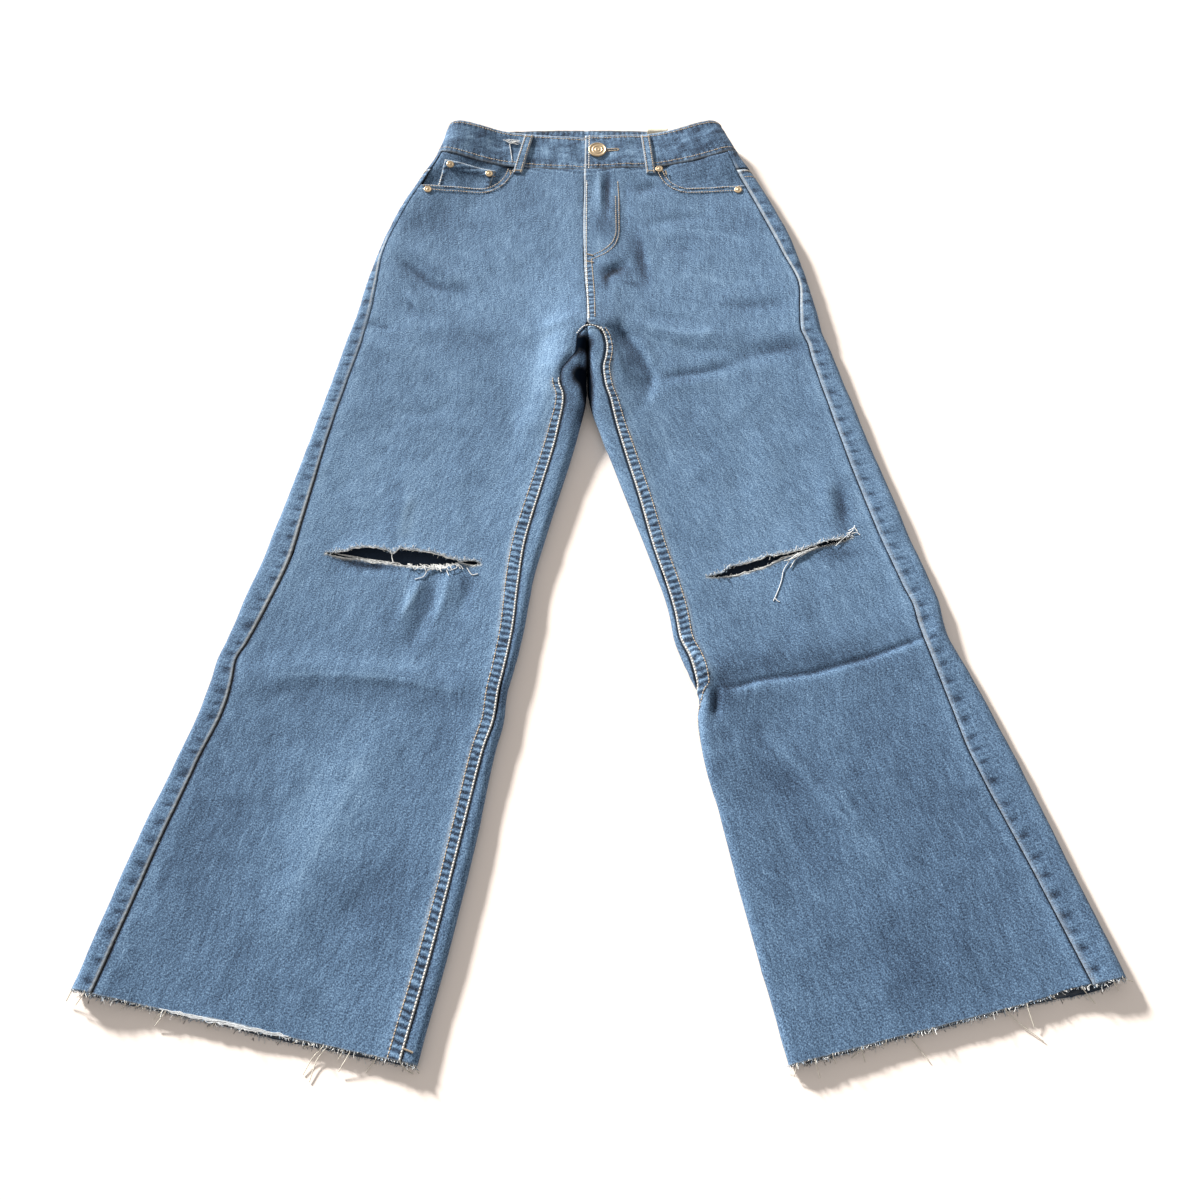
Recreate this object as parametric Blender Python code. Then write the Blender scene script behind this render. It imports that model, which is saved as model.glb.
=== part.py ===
"""Ripped high-waisted jeans with wide legs, laid flat on their back with the front up.

Metres and +Z up in the scene; the tables and functions below work in millimetres.  The waist points to
+Y and the hems to -Y.  The origin is on the floor, below the middle of the garment's box.  Left and
right are as seen from above the front, so the fly's flap comes from the right.

Each half of the garment is a flattened tube.  Its sections run from the waist to the hem, and a place on
it is (down, around): how far down the tube's inner line it lies, and how far round the section, starting
at the middle of the inner side and going over the front first.  Above the crotch the inner side is the
garment's centre line, and below it the leg's inner fold.  "down" is measured from the waist's top edge at
centre back, and lift is a height above the cloth's outer face, along its normal.
"""
import math
from collections import namedtuple

import bmesh
import bpy
import numpy as np
from mathutils import Vector

MM = 0.001

# ---- driving dimensions, in millimetres -----------------------------------------------------------
HALF_LENGTH = 524.0     # from the origin to the waist's top edge, and to the lowest hem corner
DENIM = 1.2             # one layer of denim
SEAM = 0.3              # space between two pieces that meet
BAND_THICK = 2.4        # the waistband is denim folded over an interlining
BAND_PROUD = 0.6        # how far the band's outer face stands above the panels' faces
WAIST_TOP = 20.0        # the band's top edge at centre front, down from the centre back
WAIST_SEAM = 70.0       # the seam under the band, at the centre
CROTCH = 304.0          # where the four panels meet
CROTCH_ROOM = 1.0       # added to the seams' half space there
TURN_UNDER = 728.0      # where the right leg's inseam passes round the inner fold
TURN_ROOM = 0.55
SEAT_RISE = 48.0        # over this length the seat seam climbs from the floor side to the crotch point
BACK_RISE = 20.0        # the waist is this much higher at centre back than at centre front
FOLD_ROUNDNESS = 0.55   # half-width of a side fold over its height
PUFF_REACH = 42.0       # how far in from a fold the front sinks to its middle height

Section = namedtuple("Section", "down_in x_in down_out x_out high_in high_mid high_out seam_in seam_out")
# down_in and x_in place the inner end, down_out and x_out the outer fold; high_* are the heights of the
# front's face at both ends and between them; seam_* are the seams' distances in from the inner line and
# from the outer fold, over the front, or round underneath where they are negative.

LEFT_SECTIONS = [
    Section(20, -17.0, 6, -177.5, 14.0, 15.0, 28.0, 0, 5),
    Section(70, -17.5, 50, -190.0, 12.5, 13.0, 24.0, 0, 6),
    Section(100, -18.0, 90, -210.0, 12.0, 12.5, 19.0, 0, 8),
    Section(140, -18.5, 135, -230.0, 12.0, 12.0, 17.0, 0, 8),
    Section(190, -18.0, 190, -247.0, 13.0, 12.0, 16.0, 0, 7),
    Section(237, -16.0, 237, -256.5, 17.0, 12.0, 15.0, 0, 12),
    Section(277, -13.6, 277, -264.0, 22.0, 12.5, 14.5, 0, 16),
    Section(304, -13.6, 304, -270.5, 26.0, 13.5, 14.0, 0, 18),
    Section(320, -13.8, 320, -274.0, 26.0, 13.0, 13.5, 12, 19),
    Section(350, -14.2, 348, -279.5, 25.0, 12.0, 13.0, 26, 18.5),
    Section(399, -15.0, 393, -289.0, 20.0, 10.5, 12.5, 24, 18),
    Section(451, -26.0, 439, -299.0, 15.0, 9.5, 12.0, 20, 19),
    Section(505, -40.0, 488, -310.0, 13.0, 9.0, 12.0, 19.5, 22),
    Section(557, -54.0, 535, -320.5, 12.0, 9.0, 12.0, 18, 25),
    Section(605, -65.0, 579, -331.0, 12.0, 9.0, 12.0, 13, 28),
    Section(655, -72.0, 625, -344.0, 12.0, 9.0, 11.5, 10, 26),
    Section(700, -81.0, 667, -355.5, 13.0, 9.5, 11.5, 8, 22),
    Section(722, -86.0, 686, -361.0, 13.0, 10.0, 11.5, 7, 19),
    Section(747, -88.0, 709, -364.0, 12.0, 9.0, 11.5, 8, 21),
    Section(778, -95.0, 738, -371.0, 11.5, 9.0, 11.5, 10, 23),
    Section(832, -104.0, 787, -386.0, 11.0, 9.0, 11.0, 12, 21),
    Section(938, -124.0, 885, -415.5, 11.0, 9.0, 11.0, 13, 21),
    Section(1048, -149.0, 988, -442.5, 10.5, 8.2, 14.5, 13, 20),
]
RIGHT_SECTIONS = [
    Section(20, -17.0, 6, 141.5, 14.0, 15.0, 28.0, 0, 9),
    Section(70, -17.5, 50, 161.0, 12.5, 13.0, 24.0, 0, 13),
    Section(100, -18.0, 90, 182.0, 12.0, 12.5, 19.0, 0, 19),
    Section(140, -18.5, 135, 201.0, 12.0, 12.0, 17.0, 0, 20),
    Section(190, -18.0, 190, 219.0, 13.0, 12.0, 16.0, 0, 18),
    Section(237, -16.0, 237, 229.0, 16.5, 12.0, 15.0, 0, 11),
    Section(277, -13.6, 277, 236.0, 21.5, 12.5, 14.5, 0, 19),
    Section(304, -13.4, 304, 240.0, 25.5, 12.5, 14.0, 0, 23),
    Section(320, -13.0, 319, 244.5, 24.5, 12.0, 13.5, 17, 22),
    Section(350, -12.0, 348, 252.0, 22.0, 11.5, 13.0, 16, 25),
    Section(399, -8.5, 393, 264.5, 18.0, 10.5, 12.5, 20, 27),
    Section(433, 0.0, 422, 271.0, 15.0, 9.5, 12.0, 18, 27),
    Section(505, 24.0, 484, 288.0, 12.0, 9.0, 12.0, 13, 29),
    Section(574, 47.0, 545, 304.0, 12.0, 9.0, 12.0, 6.5, 29),
    Section(639, 66.0, 603, 321.0, 12.0, 9.0, 12.0, 5, 28),
    Section(666, 70.0, 628, 327.5, 12.5, 9.0, 12.0, 5, 26),
    Section(686, 77.0, 646, 329.0, 13.0, 9.5, 12.5, 6, 25),
    Section(705, 84.0, 662, 331.5, 14.0, 10.0, 13.0, 4, 24),
    Section(728, 92.0, 681, 338.5, 14.0, 9.5, 12.5, -3, 26),
    Section(747, 90.5, 698, 346.0, 13.0, 9.0, 12.0, -9, 29),
    Section(777, 93.0, 726, 357.5, 12.0, 9.0, 11.5, -12, 33),
    Section(832, 105.0, 777, 376.0, 11.0, 9.0, 11.0, -14, 38),
    Section(938, 128.0, 878, 410.0, 11.0, 9.0, 11.0, -15, 34),
    Section(1048, 154.0, 978, 442.5, 10.5, 8.2, 12.5, -15, 30),
]

Fold = namedtuple("Fold", "x0 down0 x1 down1 width height")
# The largest creases of the front, as straight ridges, or troughs where the height is negative.
FOLDS = [
    Fold(-340, 706, -265, 704, 13, 2.4),       # the left knee's step
    Fold(-265, 704, -125, 734, 13, 2.4),
    Fold(112, 713, 199, 700, 10, 3.6),         # the right knee's sharp crease
    Fold(199, 700, 306, 665, 11, 3.2),
    Fold(92, 672, 116, 747, 9, 3.0),           # the right leg's fold that turns the inseam under
    Fold(8, 262, 34, 316, 20, -4.0),           # the hollow beside the crotch
    Fold(34, 316, 60, 430, 22, -3.0),
    Fold(-40, 318, -66, 436, 18, 3.0),         # the left thigh puffs over the inseam
    Fold(-223, 192, -165, 244, 12, 1.8),       # the left hip
    Fold(-196, 495, -203, 560, 11, 2.0),       # above the left rip
    Fold(-166, 600, -144, 668, 11, 1.8),       # below it
]

Rip = namedtuple("Rip", "x0 down0 x1 down1 openings")
# Both tips of each knee rip, and how far it gapes at even steps from the first tip to the second.
LEFT_RIP = Rip(-270, 574, -116, 584, (1.4, 9, 12, 13, 18, 20, 12, 1.4))
RIGHT_RIP = Rip(249, 559, 105, 601, (1.4, 2.5, 3.5, 6, 9, 9, 7, 1.4))

Mouth = namedtuple("Mouth", "x_inner down_inner width depth")
LEFT_MOUTH = Mouth(-107, 61, 30, 38)
RIGHT_MOUTH = Mouth(73, 61, 30, 38)
RIP_MARGIN = 2.0        # rows this far above and below a rip's level carry its lips

# Rows of both panels, so that their edges run side by side along the seams.
HIP_ROWS = (118, 150, 190)
THIGH_ROWS = (225, 262, 284, 304, 311, 322, 345, 372, 405, 450, 500, 545)
SHIN_ROWS = (630, 662, 686, 705, 728, 747, 777, 832, 900, 975, 1048)
FRONT_SPREAD = (0.14, 0.27, 0.41, 0.45, 0.50, 0.57, 0.70, 0.85, 1.0)
FRONT_EDGE_STEPS = 3
BACK_STEPS = (3, 2, 4, 5)    # columns: outseam to fold, fold to floor, floor, up to the inseam


def ramp(value, start, end):
    """0 before start and 1 after end, with a soft turn at both."""
    t = np.clip((value - start) / (end - start), 0.0, 1.0)
    return t * t * (3.0 - 2.0 * t)


def smooth(xs, ys, x):
    """A monotone cubic through the points, so that nothing swings past its neighbours."""
    step = np.diff(xs)
    slope = np.diff(ys) / step
    tangent = np.zeros(len(ys))
    same_way = slope[:-1] * slope[1:] > 0.0
    both = np.where(same_way, slope[:-1] + slope[1:], 1.0)
    tangent[1:-1] = np.where(same_way, 2.0 * slope[:-1] * slope[1:] / both, 0.0)
    tangent[0] = slope[0]
    tangent[-1] = slope[-1]
    i = int(np.clip(np.searchsorted(xs, x) - 1, 0, len(step) - 1))
    t = (x - xs[i]) / step[i]
    rise = ys[i + 1] - ys[i]
    bend = t * (1.0 - t)
    return (ys[i] + rise * t * t * (3.0 - 2.0 * t)
            + bend * (1.0 - t) * step[i] * tangent[i] - bend * t * step[i] * tangent[i + 1])


def inseam_room(down):
    """Half the space along the inseam, with more where four panels meet and where it turns under."""
    if down < CROTCH:
        return 0.0
    turning = math.exp(-((down - TURN_UNDER) / 26.0) ** 2)
    return SEAM / 2 + CROTCH_ROOM * (1.0 - ramp(down, CROTCH, CROTCH + 20)) + TURN_ROOM * turning


def fold_height(x, down):
    """How much the large creases raise or lower the front at this place."""
    total = np.zeros_like(x)
    for fold in FOLDS:
        run_x = fold.x1 - fold.x0
        run_down = fold.down1 - fold.down0
        along = ((x - fold.x0) * run_x + (down - fold.down0) * run_down) / (run_x ** 2 + run_down ** 2)
        along = np.clip(along, 0.0, 1.0)
        away = np.hypot(x - fold.x0 - along * run_x, down - fold.down0 - along * run_down)
        total += fold.height * np.exp(-(away / fold.width) ** 2)
    return total


class Half:
    """One side of the garment, from its centre line or inner fold to its outer fold."""

    def __init__(self, name, sign, sections, mouth, rip):
        self.name = name
        self.sign = sign
        self.mouth = mouth
        self.rip = rip
        self.table = {column: np.array([getattr(row, column) for row in sections], float)
                      for column in Section._fields}
        self.table["x_in"] += sign * SEAM / 2
        self.rings = {}
        self.downs = np.arange(WAIST_TOP - 6.0, 1056.0, 2.0)
        self.lines = {column: np.array([self.value(column, down) for down in self.downs])
                      for column in ("x_in", "x_out", "down_out")}

    def value(self, column, down):
        return smooth(self.table["down_in"], self.table[column], down)

    def low(self, down):
        """Height of the underside's face: the hips stand on the back pockets and loops."""
        return 2.1 - 0.6 * ramp(down, 112, 150) - 1.5 * ramp(down, 320, 372)

    def drop(self, down, across, back):
        """Down position of a point that lies this fraction across the section."""
        level = down - back * BACK_RISE * (1.0 - ramp(down, 90, 236))
        bow = 2.0 if down < 250.0 else 1.0
        return level + (self.value("down_out", down) - level) * np.abs(across) ** bow

    def ring(self, down):
        """The section: distance in from the inner line, height, back or front, and the way round."""
        key = round(down, 3)
        if key in self.rings:
            return self.rings[key]
        width = abs(self.value("x_out", down) - self.value("x_in", down))
        low = self.low(down)
        high_in = self.value("high_in", down)
        high_mid = self.value("high_mid", down)
        high_out = self.value("high_out", down)
        in_top = FOLD_ROUNDNESS * (high_in - low) * ramp(down, CROTCH, CROTCH + 60)
        in_low = FOLD_ROUNDNESS * (high_in - low) * ramp(down, CROTCH - SEAT_RISE, CROTCH)
        out = min(14.0, FOLD_ROUNDNESS * (high_out - low))

        quarter = np.linspace(0.0, math.pi / 2, 8)
        half_in = (high_in - low) / 2
        half_out = (high_out - low) / 2
        top_u = np.linspace(in_top, width - out, 60)
        top_x = self.value("x_in", down) + self.sign * top_u
        top_down = self.drop(down, top_u / width, 0.0)
        edge = np.minimum(top_u - in_top, width - out - top_u)
        creases = fold_height(top_x, top_down) * ramp(edge, 2.0, 18.0)
        top_z = (high_mid + (high_in - high_mid) * np.exp(-((top_u - in_top) / PUFF_REACH) ** 2)
                 + (high_out - high_mid) * np.exp(-((width - out - top_u) / PUFF_REACH) ** 2) + creases)
        turn = np.linspace(math.pi / 2, -math.pi / 2, 17)
        floor_u = np.linspace(width - out, in_low, 24)
        u = np.concatenate([in_top * (1 - np.cos(quarter)), top_u[1:],
                            (width - out + out * np.cos(turn))[1:], floor_u[1:],
                            (in_low * (1 - np.cos(quarter[::-1])))[1:]])
        z = np.concatenate([low + half_in + half_in * np.sin(quarter), top_z[1:],
                            (low + half_out + half_out * np.sin(turn))[1:], np.full(23, low),
                            (low + half_in - half_in * np.sin(quarter[::-1]))[1:]])
        back = np.zeros(len(u))
        back[8 + 59 + 16:] = 1.0
        around = np.concatenate([[0.0], np.cumsum(np.hypot(np.diff(u), np.diff(z)))])
        marks = {"top_in": 7, "top_out": 66, "side": 74, "floor_out": 82, "floor_in": 105, "end": len(u) - 1}
        ring = {"u": u, "z": z, "back": back, "around": around, "width": width, "in_low": in_low}
        ring.update({name: around[index] for name, index in marks.items()})
        ring["index"] = marks
        self.rings[key] = ring
        return ring

    def point(self, down, around):
        ring = self.ring(down)
        s = around % ring["end"]
        u = np.interp(s, ring["around"], ring["u"])
        z = np.interp(s, ring["around"], ring["z"])
        back = np.interp(s, ring["around"], ring["back"])
        y = HALF_LENGTH - self.drop(down, u / ring["width"], back)
        return np.array([self.value("x_in", down) + self.sign * u, y, z])

    def normal(self, down, around, first=False, last=False):
        """Outward normal; down to the crotch, a piece's first and last columns look only into the piece."""
        step = 0.6
        edged = down <= CROTCH
        before = around if first and edged else around - step
        after = around if last and edged else around + step
        way = self.point(down, after) - self.point(down, before)
        fall = self.point(down + step, around) - self.point(down - step, around)
        normal = -self.sign * np.cross(way, fall)
        return normal / np.linalg.norm(normal)

    def around_front(self, down, u):
        """Way round to the front's point at this distance from the inner line; under it if negative."""
        ring = self.ring(down)
        marks = ring["index"]
        if u < 0.0:
            part = slice(marks["floor_in"] - 23, marks["end"] + 1)
            return np.interp(-u, ring["u"][part][::-1], ring["around"][part][::-1]) - ring["end"]
        part = slice(marks["top_in"], marks["side"] + 1)
        if u < ring["u"][marks["top_in"]]:
            part = slice(0, marks["top_in"] + 1)
        return np.interp(u, ring["u"][part], ring["around"][part])

    def around_back(self, down, u):
        ring = self.ring(down)
        part = slice(ring["index"]["floor_out"], ring["index"]["floor_in"] + 1)
        return np.interp(u, ring["u"][part][::-1], ring["around"][part][::-1])

    def outseam(self, down):
        return self.around_front(down, self.ring(down)["width"] - self.value("seam_out", down))

    def inseam(self, down):
        """The front's inner edge: the centre line down to the crotch, then the inseam."""
        if down <= CROTCH:
            return self.ring(down)["top_in"]
        return self.around_front(down, self.value("seam_in", down))

    def seat(self, down):
        """The back's inner edge, which climbs to the crotch point and then follows the inseam."""
        ring = self.ring(down)
        if down > CROTCH:
            return ring["end"] + self.inseam(down) - inseam_room(down)
        climb = ramp(down, CROTCH - SEAT_RISE, CROTCH)
        crotch_point = ring["end"] + ring["top_in"] - DENIM - SEAM
        return ring["floor_in"] + climb * (crotch_point - ring["floor_in"])

    def find(self, x, down_here, back=0.0):
        """(down, distance from the inner line) of the front's or back's place at x, down_here."""
        width = np.abs(self.lines["x_out"] - self.lines["x_in"])
        across = np.clip((x - self.lines["x_in"]) * self.sign / width, -1.1, 1.1)
        level = self.downs - back * BACK_RISE * (1.0 - ramp(self.downs, 90, 236))
        bow = np.where(self.downs < 250.0, 2.0, 1.0)
        there = level + (self.lines["down_out"] - level) * np.abs(across) ** bow
        down = float(np.interp(down_here, there, self.downs))
        return down, (x - self.value("x_in", down)) * self.sign


LEFT = Half("left", -1, LEFT_SECTIONS, LEFT_MOUTH, LEFT_RIP)
RIGHT = Half("right", 1, RIGHT_SECTIONS, RIGHT_MOUTH, RIGHT_RIP)


# ---- making objects ---------------------------------------------------------------------------------
def material(name, colour, roughness, metallic=0.0):
    made = bpy.data.materials.new(name)
    made.use_nodes = True
    shader = made.node_tree.nodes["Principled BSDF"]
    shader.inputs["Base Color"].default_value = (*colour, 1.0)
    shader.inputs["Roughness"].default_value = roughness
    shader.inputs["Metallic"].default_value = metallic
    return made


def finish(name, bm, look):
    mesh = bpy.data.meshes.new(name)
    bm.to_mesh(mesh)
    bm.free()
    mesh.materials.append(look)
    piece = bpy.data.objects.new(name, mesh)
    bpy.context.scene.collection.objects.link(piece)
    return piece


def sheet(name, look, places, lift, thick, keep=None):
    """A wall of cloth on a grid of places: (half, down, around, first, last) in rows and columns.

    Its outer skin stands lift above the garment's face, one number or one for each place, and its inner
    skin lies thick below that.  keep says which cells there are; the others are holes.
    """
    rows = len(places)
    columns = len(places[0])
    lift = np.broadcast_to(np.asarray(lift, float), (rows, columns))
    outer = np.zeros((rows, columns, 3))
    normal = np.zeros((rows, columns, 3))
    for r, row in enumerate(places):
        for c, (half, down, around) in enumerate(row):
            normal[r, c] = half.normal(down, around, c == 0, c == columns - 1)
            outer[r, c] = half.point(down, around) + normal[r, c] * lift[r, c]
    inner = outer - normal * thick
    count = rows * columns
    corners = np.concatenate([outer.reshape(count, 3), inner.reshape(count, 3)]) * MM

    cells = [(r, c) for r in range(rows - 1) for c in range(columns - 1) if keep is None or keep(r, c)]
    quads = [(r * columns + c, r * columns + c + 1, (r + 1) * columns + c + 1, (r + 1) * columns + c)
             for r, c in cells]
    cross = np.cross(outer[0, 1] - outer[0, 0], outer[1, 0] - outer[0, 0])
    if np.dot(cross, normal[0, 0]) < 0.0:
        quads = [quad[::-1] for quad in quads]
    edges = {(quad[i], quad[(i + 1) % 4]): None for quad in quads for i in range(4)}
    rims = [(b, a, a + count, b + count) for a, b in edges if (b, a) not in edges]
    inside = [tuple(corner + count for corner in quad[::-1]) for quad in quads]

    bm = bmesh.new()
    used = sorted({corner for face in quads + inside + rims for corner in face})
    verts = {corner: bm.verts.new(corners[corner]) for corner in used}
    for face in quads + inside + rims:
        bm.faces.new([verts[corner] for corner in face])
    return finish(name, bm, look)


def turned(name, look, profile, place, steps=16):
    """A round piece: profile is (radius, height) from the axis underneath to the axis on top."""
    bm = bmesh.new()
    points = [bm.verts.new((radius * MM, 0.0, height * MM)) for radius, height in profile]
    edges = [bm.edges.new(pair) for pair in zip(points, points[1:])]
    bmesh.ops.spin(bm, geom=points + edges, cent=(0, 0, 0), axis=(0, 0, 1), angle=2 * math.pi, steps=steps,
                   use_merge=False, use_duplicate=False)
    bmesh.ops.remove_doubles(bm, verts=bm.verts, dist=0.00001)
    bmesh.ops.recalc_face_normals(bm, faces=bm.faces)
    piece = finish(name, bm, look)
    half, down, around, lift = place
    normal = half.normal(down, around)
    piece.location = Vector((half.point(down, around) + normal * lift) * MM)
    piece.rotation_mode = "QUATERNION"
    piece.rotation_quaternion = Vector((0.0, 0.0, 1.0)).rotation_difference(Vector(normal))
    piece.data.shade_smooth()
    piece.data.set_sharp_from_angle(angle=math.radians(40))
    return piece


def front_place(x, down_here):
    """The (half, down, around) of the front's place at x, at this distance down."""
    half = LEFT if LEFT.find(x, down_here)[1] > 0.0 else RIGHT
    down, u = half.find(x, down_here)
    return half, down, half.around_front(down, max(u, 0.0))


def back_place(x, down_here):
    half = LEFT if LEFT.find(x, down_here, 1.0)[1] > 0.0 else RIGHT
    down, u = half.find(x, down_here, 1.0)
    return half, down, half.around_back(down, max(u, 0.0))


def patch(corners, rows, columns, place=front_place):
    """Places on a grid between four (x, down) corners: top left, top right, low left, low right."""
    top_left, top_right, low_left, low_right = (np.array(corner, float) for corner in corners)
    grid = []
    for fall in np.linspace(0.0, 1.0, rows):
        left = top_left + (low_left - top_left) * fall
        right = top_right + (low_right - top_right) * fall
        grid.append([place(*(left + (right - left) * t)) for t in np.linspace(0.0, 1.0, columns)])
    return grid


# ---- panels -----------------------------------------------------------------------------------------
def mouth_down(half, u):
    """Where the front panel starts: at the waist seam, or along the scooped pocket mouth."""
    mouth = half.mouth
    start_down, start_u = half.find(mouth.x_inner, mouth.down_inner)
    if u <= start_u + 0.5:
        return WAIST_SEAM + SEAM / 2
    x = half.value("x_in", start_down) + half.sign * u
    q = min(1.0, (u - start_u) / mouth.width)
    scoop = mouth.down_inner + mouth.depth * math.sqrt(1.0 - (1.0 - q) ** 2)
    return half.find(x, scoop)[0]


def front_columns(half, down):
    start = half.inseam(down) + inseam_room(down)
    end = half.outseam(down) - SEAM / 2
    turn = max(start + 24.0, half.ring(down)["top_in"] + 12.0)
    edge = [start + (turn - start) * i / FRONT_EDGE_STEPS for i in range(FRONT_EDGE_STEPS)]
    return edge + [turn] + [turn + (end - turn) * part for part in FRONT_SPREAD]


def column_u(half, down, around):
    ring = half.ring(down)
    return np.interp(around, ring["around"], ring["u"]) if around > 0.0 else 0.0


def rip_level(half):
    rip = half.rip
    return half.find((rip.x0 + rip.x1) / 2, (rip.down0 + rip.down1) / 2)[0]


def lower_rows(half):
    """Rows from the hip down, with two close ones on either side of the rip."""
    level = rip_level(half)
    return THIGH_ROWS + (level - RIP_MARGIN, level + RIP_MARGIN) + SHIN_ROWS


def rip_rows(half):
    """Two rows of places along the upper and lower lip, and the first and last column of the hole."""
    rip = half.rip
    down = rip_level(half)
    us = [column_u(half, down, around) for around in front_columns(half, down)]
    x_in = half.value("x_in", down)
    xs = np.array([x_in + half.sign * u for u in us])
    ends = sorted(int(np.argmin(np.abs(xs - tip))) for tip in (rip.x0, rip.x1))
    xs[ends[0]], xs[ends[1]] = sorted((rip.x0, rip.x1), key=abs)
    part = (xs - rip.x0) / (rip.x1 - rip.x0)
    line = rip.down0 + (rip.down1 - rip.down0) * part
    gape = np.interp(part, np.linspace(0.0, 1.0, len(rip.openings)), rip.openings)
    rows = []
    for side in (-1, 1):
        level = down + side * RIP_MARGIN
        row = [(half, level, around) for around in front_columns(half, level)]
        for c in range(ends[0], ends[1] + 1):
            there, u = half.find(xs[c], line[c] + side * gape[c] / 2)
            row[c] = (half, there, half.around_front(there, u))
        rows.append(row)
    return rows, ends


def front_panel(half, look):
    first = []
    second = []
    for c, around in enumerate(front_columns(half, HIP_ROWS[0])):
        top = mouth_down(half, column_u(half, HIP_ROWS[0], around) if c else 0.0)
        for row, down in ((first, top), (second, (top + HIP_ROWS[0]) / 2)):
            row.append((half, down, front_columns(half, down)[c]))
    rows = [first, second]
    rows += [[(half, down, around) for around in front_columns(half, down)] for down in HIP_ROWS + THIGH_ROWS]
    lips, ends = rip_rows(half)
    hole = len(rows)
    rows += lips
    rows += [[(half, down, around) for around in front_columns(half, down)] for down in SHIN_ROWS]
    return sheet("front_" + half.name, look, rows, 0.0, DENIM,
                 keep=lambda r, c: r != hole or not ends[0] <= c < ends[1])


def back_columns(half, down):
    ring = half.ring(down)
    start = half.outseam(down) + SEAM / 2
    end = half.seat(down)
    under = max(45.0 * (1.0 - ramp(down, CROTCH - SEAT_RISE, CROTCH)), ring["in_low"] + 6.0)
    if down > CROTCH:
        under = max(under, 10.0 - half.value("seam_in", down))
    knots = (start, ring["side"], ring["floor_out"], half.around_back(down, under), end)
    columns = [start]
    for low, high, steps in zip(knots, knots[1:], BACK_STEPS):
        columns += [low + (high - low) * (i + 1) / steps for i in range(steps)]
    return columns


def yoke_seam(half, share):
    """Down position of the yoke's lower seam: short at the side and deep at centre back."""
    return 89.0 + 56.0 * ramp(share, 0.15, 1.1)


def yoke_and_back(half, look):
    count = sum(BACK_STEPS) + 1
    around = back_columns(half, WAIST_SEAM)
    share = [(s - around[0]) / (around[-1] - around[0]) for s in around]
    seams = [yoke_seam(half, part) for part in share]
    rows = []
    for part in (0.0, 0.5, 1.0):
        downs = [WAIST_SEAM + SEAM / 2 + (seam - SEAM / 2 - WAIST_SEAM - SEAM / 2) * part for seam in seams]
        rows.append([(half, downs[c], back_columns(half, downs[c])[c]) for c in range(count)])
    yoke = sheet("yoke_" + half.name, look, rows, 0.0, DENIM)
    tops = [seam + SEAM / 2 for seam in seams]
    width = half.ring(HIP_ROWS[0])["width"]
    beside = (tops[0], mouth_down(half, width - half.value("seam_out", HIP_ROWS[0]))) + HIP_ROWS
    rows = []
    for level in beside:
        part = (level - tops[0]) / (HIP_ROWS[-1] - tops[0])
        downs = [top + (HIP_ROWS[-1] - top) * part for top in tops]
        rows.append([(half, downs[c], back_columns(half, downs[c])[c]) for c in range(count)])
    rows += [[(half, down, s) for s in back_columns(half, down)] for down in lower_rows(half)]
    back = sheet("back_" + half.name, look, rows, 0.0, DENIM)
    return yoke, back


# ---- waistband, loops and fly -----------------------------------------------------------------------
FLAP_LIFT = 1.4          # the buttonhole end rises, and the button end sinks, by this
UNDER_LAP = 36.0         # how far the button end runs on below the flap
SLOT_ROWS = (WAIST_TOP, 40.2, 45.8, WAIST_SEAM - SEAM / 2)
SLOT_COLUMNS = (38.0, 29.0, 20.0, 11.0)      # the buttonhole, in from the flap's end


def band_lift(half, u):
    if half is RIGHT:
        return BAND_PROUD + FLAP_LIFT * (1.0 - ramp(u, 44.0, 66.0))
    return BAND_PROUD - FLAP_LIFT * (1.0 - ramp(u, 3.0, 26.0))


def waistband(look):
    """One strip: from its button end, round the left side and the back, to the buttonhole end."""
    front_u = (45.0, 66.0, 85.0, 104.0, 122.0, 138.0)
    count = sum(BACK_STEPS) + 1
    behind = list(range(0, count - BACK_STEPS[-1])) + list(range(count - BACK_STEPS[-1] + 1, count, 2))
    under = [(RIGHT, u, BAND_PROUD - FLAP_LIFT) for u in (UNDER_LAP, 24.0, 12.0)]
    left = [(LEFT, u, band_lift(LEFT, u)) for u in (0.5, 10.0, 20.0, 30.0) + front_u]
    around_left = [(LEFT, column, BAND_PROUD) for column in behind]
    around_right = [(RIGHT, column, BAND_PROUD) for column in behind[::-1]]
    flap_u = front_u[:0:-1] + (54.0,) + SLOT_COLUMNS + (5.0, 0.3)
    right = [(RIGHT, u, band_lift(RIGHT, u)) for u in flap_u]
    stations = under + left + around_left + around_right + right
    rows = []
    for down in SLOT_ROWS:
        row = [(half, down, half.around_front(down, u)) for half, u, _ in under + left]
        row += [(half, down, back_columns(half, down)[column]) for half, column, _ in around_left + around_right]
        row += [(half, down, half.around_front(down, u)) for half, u, _ in right]
        rows.append(row)
    lifts = [[station[2] for station in stations]] * len(SLOT_ROWS)
    slot = len(stations) - 2 - len(SLOT_COLUMNS)
    return sheet("waistband", look, rows, lifts, BAND_THICK,
                 keep=lambda r, c: r != 1 or not slot <= c < slot + len(SLOT_COLUMNS) - 1)


LOOP_WIDTH = 10.5
LOOP_LENGTH = 57.0
LOOP_OVER_BAND = BAND_PROUD + SEAM + DENIM


def belt_loop(name, look, x_top, x_low, top, lifts, place):
    """A strip over the band, sewn down at its top and on the panel just below the waist seam."""
    half_width = LOOP_WIDTH / 2
    low = top + LOOP_LENGTH
    places = patch(((x_top - half_width, top), (x_top + half_width, top),
                    (x_low - half_width, low), (x_low + half_width, low)), len(lifts), 2, place)
    return sheet(name, look, places, [[LOOP_OVER_BAND + lift] * 2 for lift in lifts], DENIM)


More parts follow.
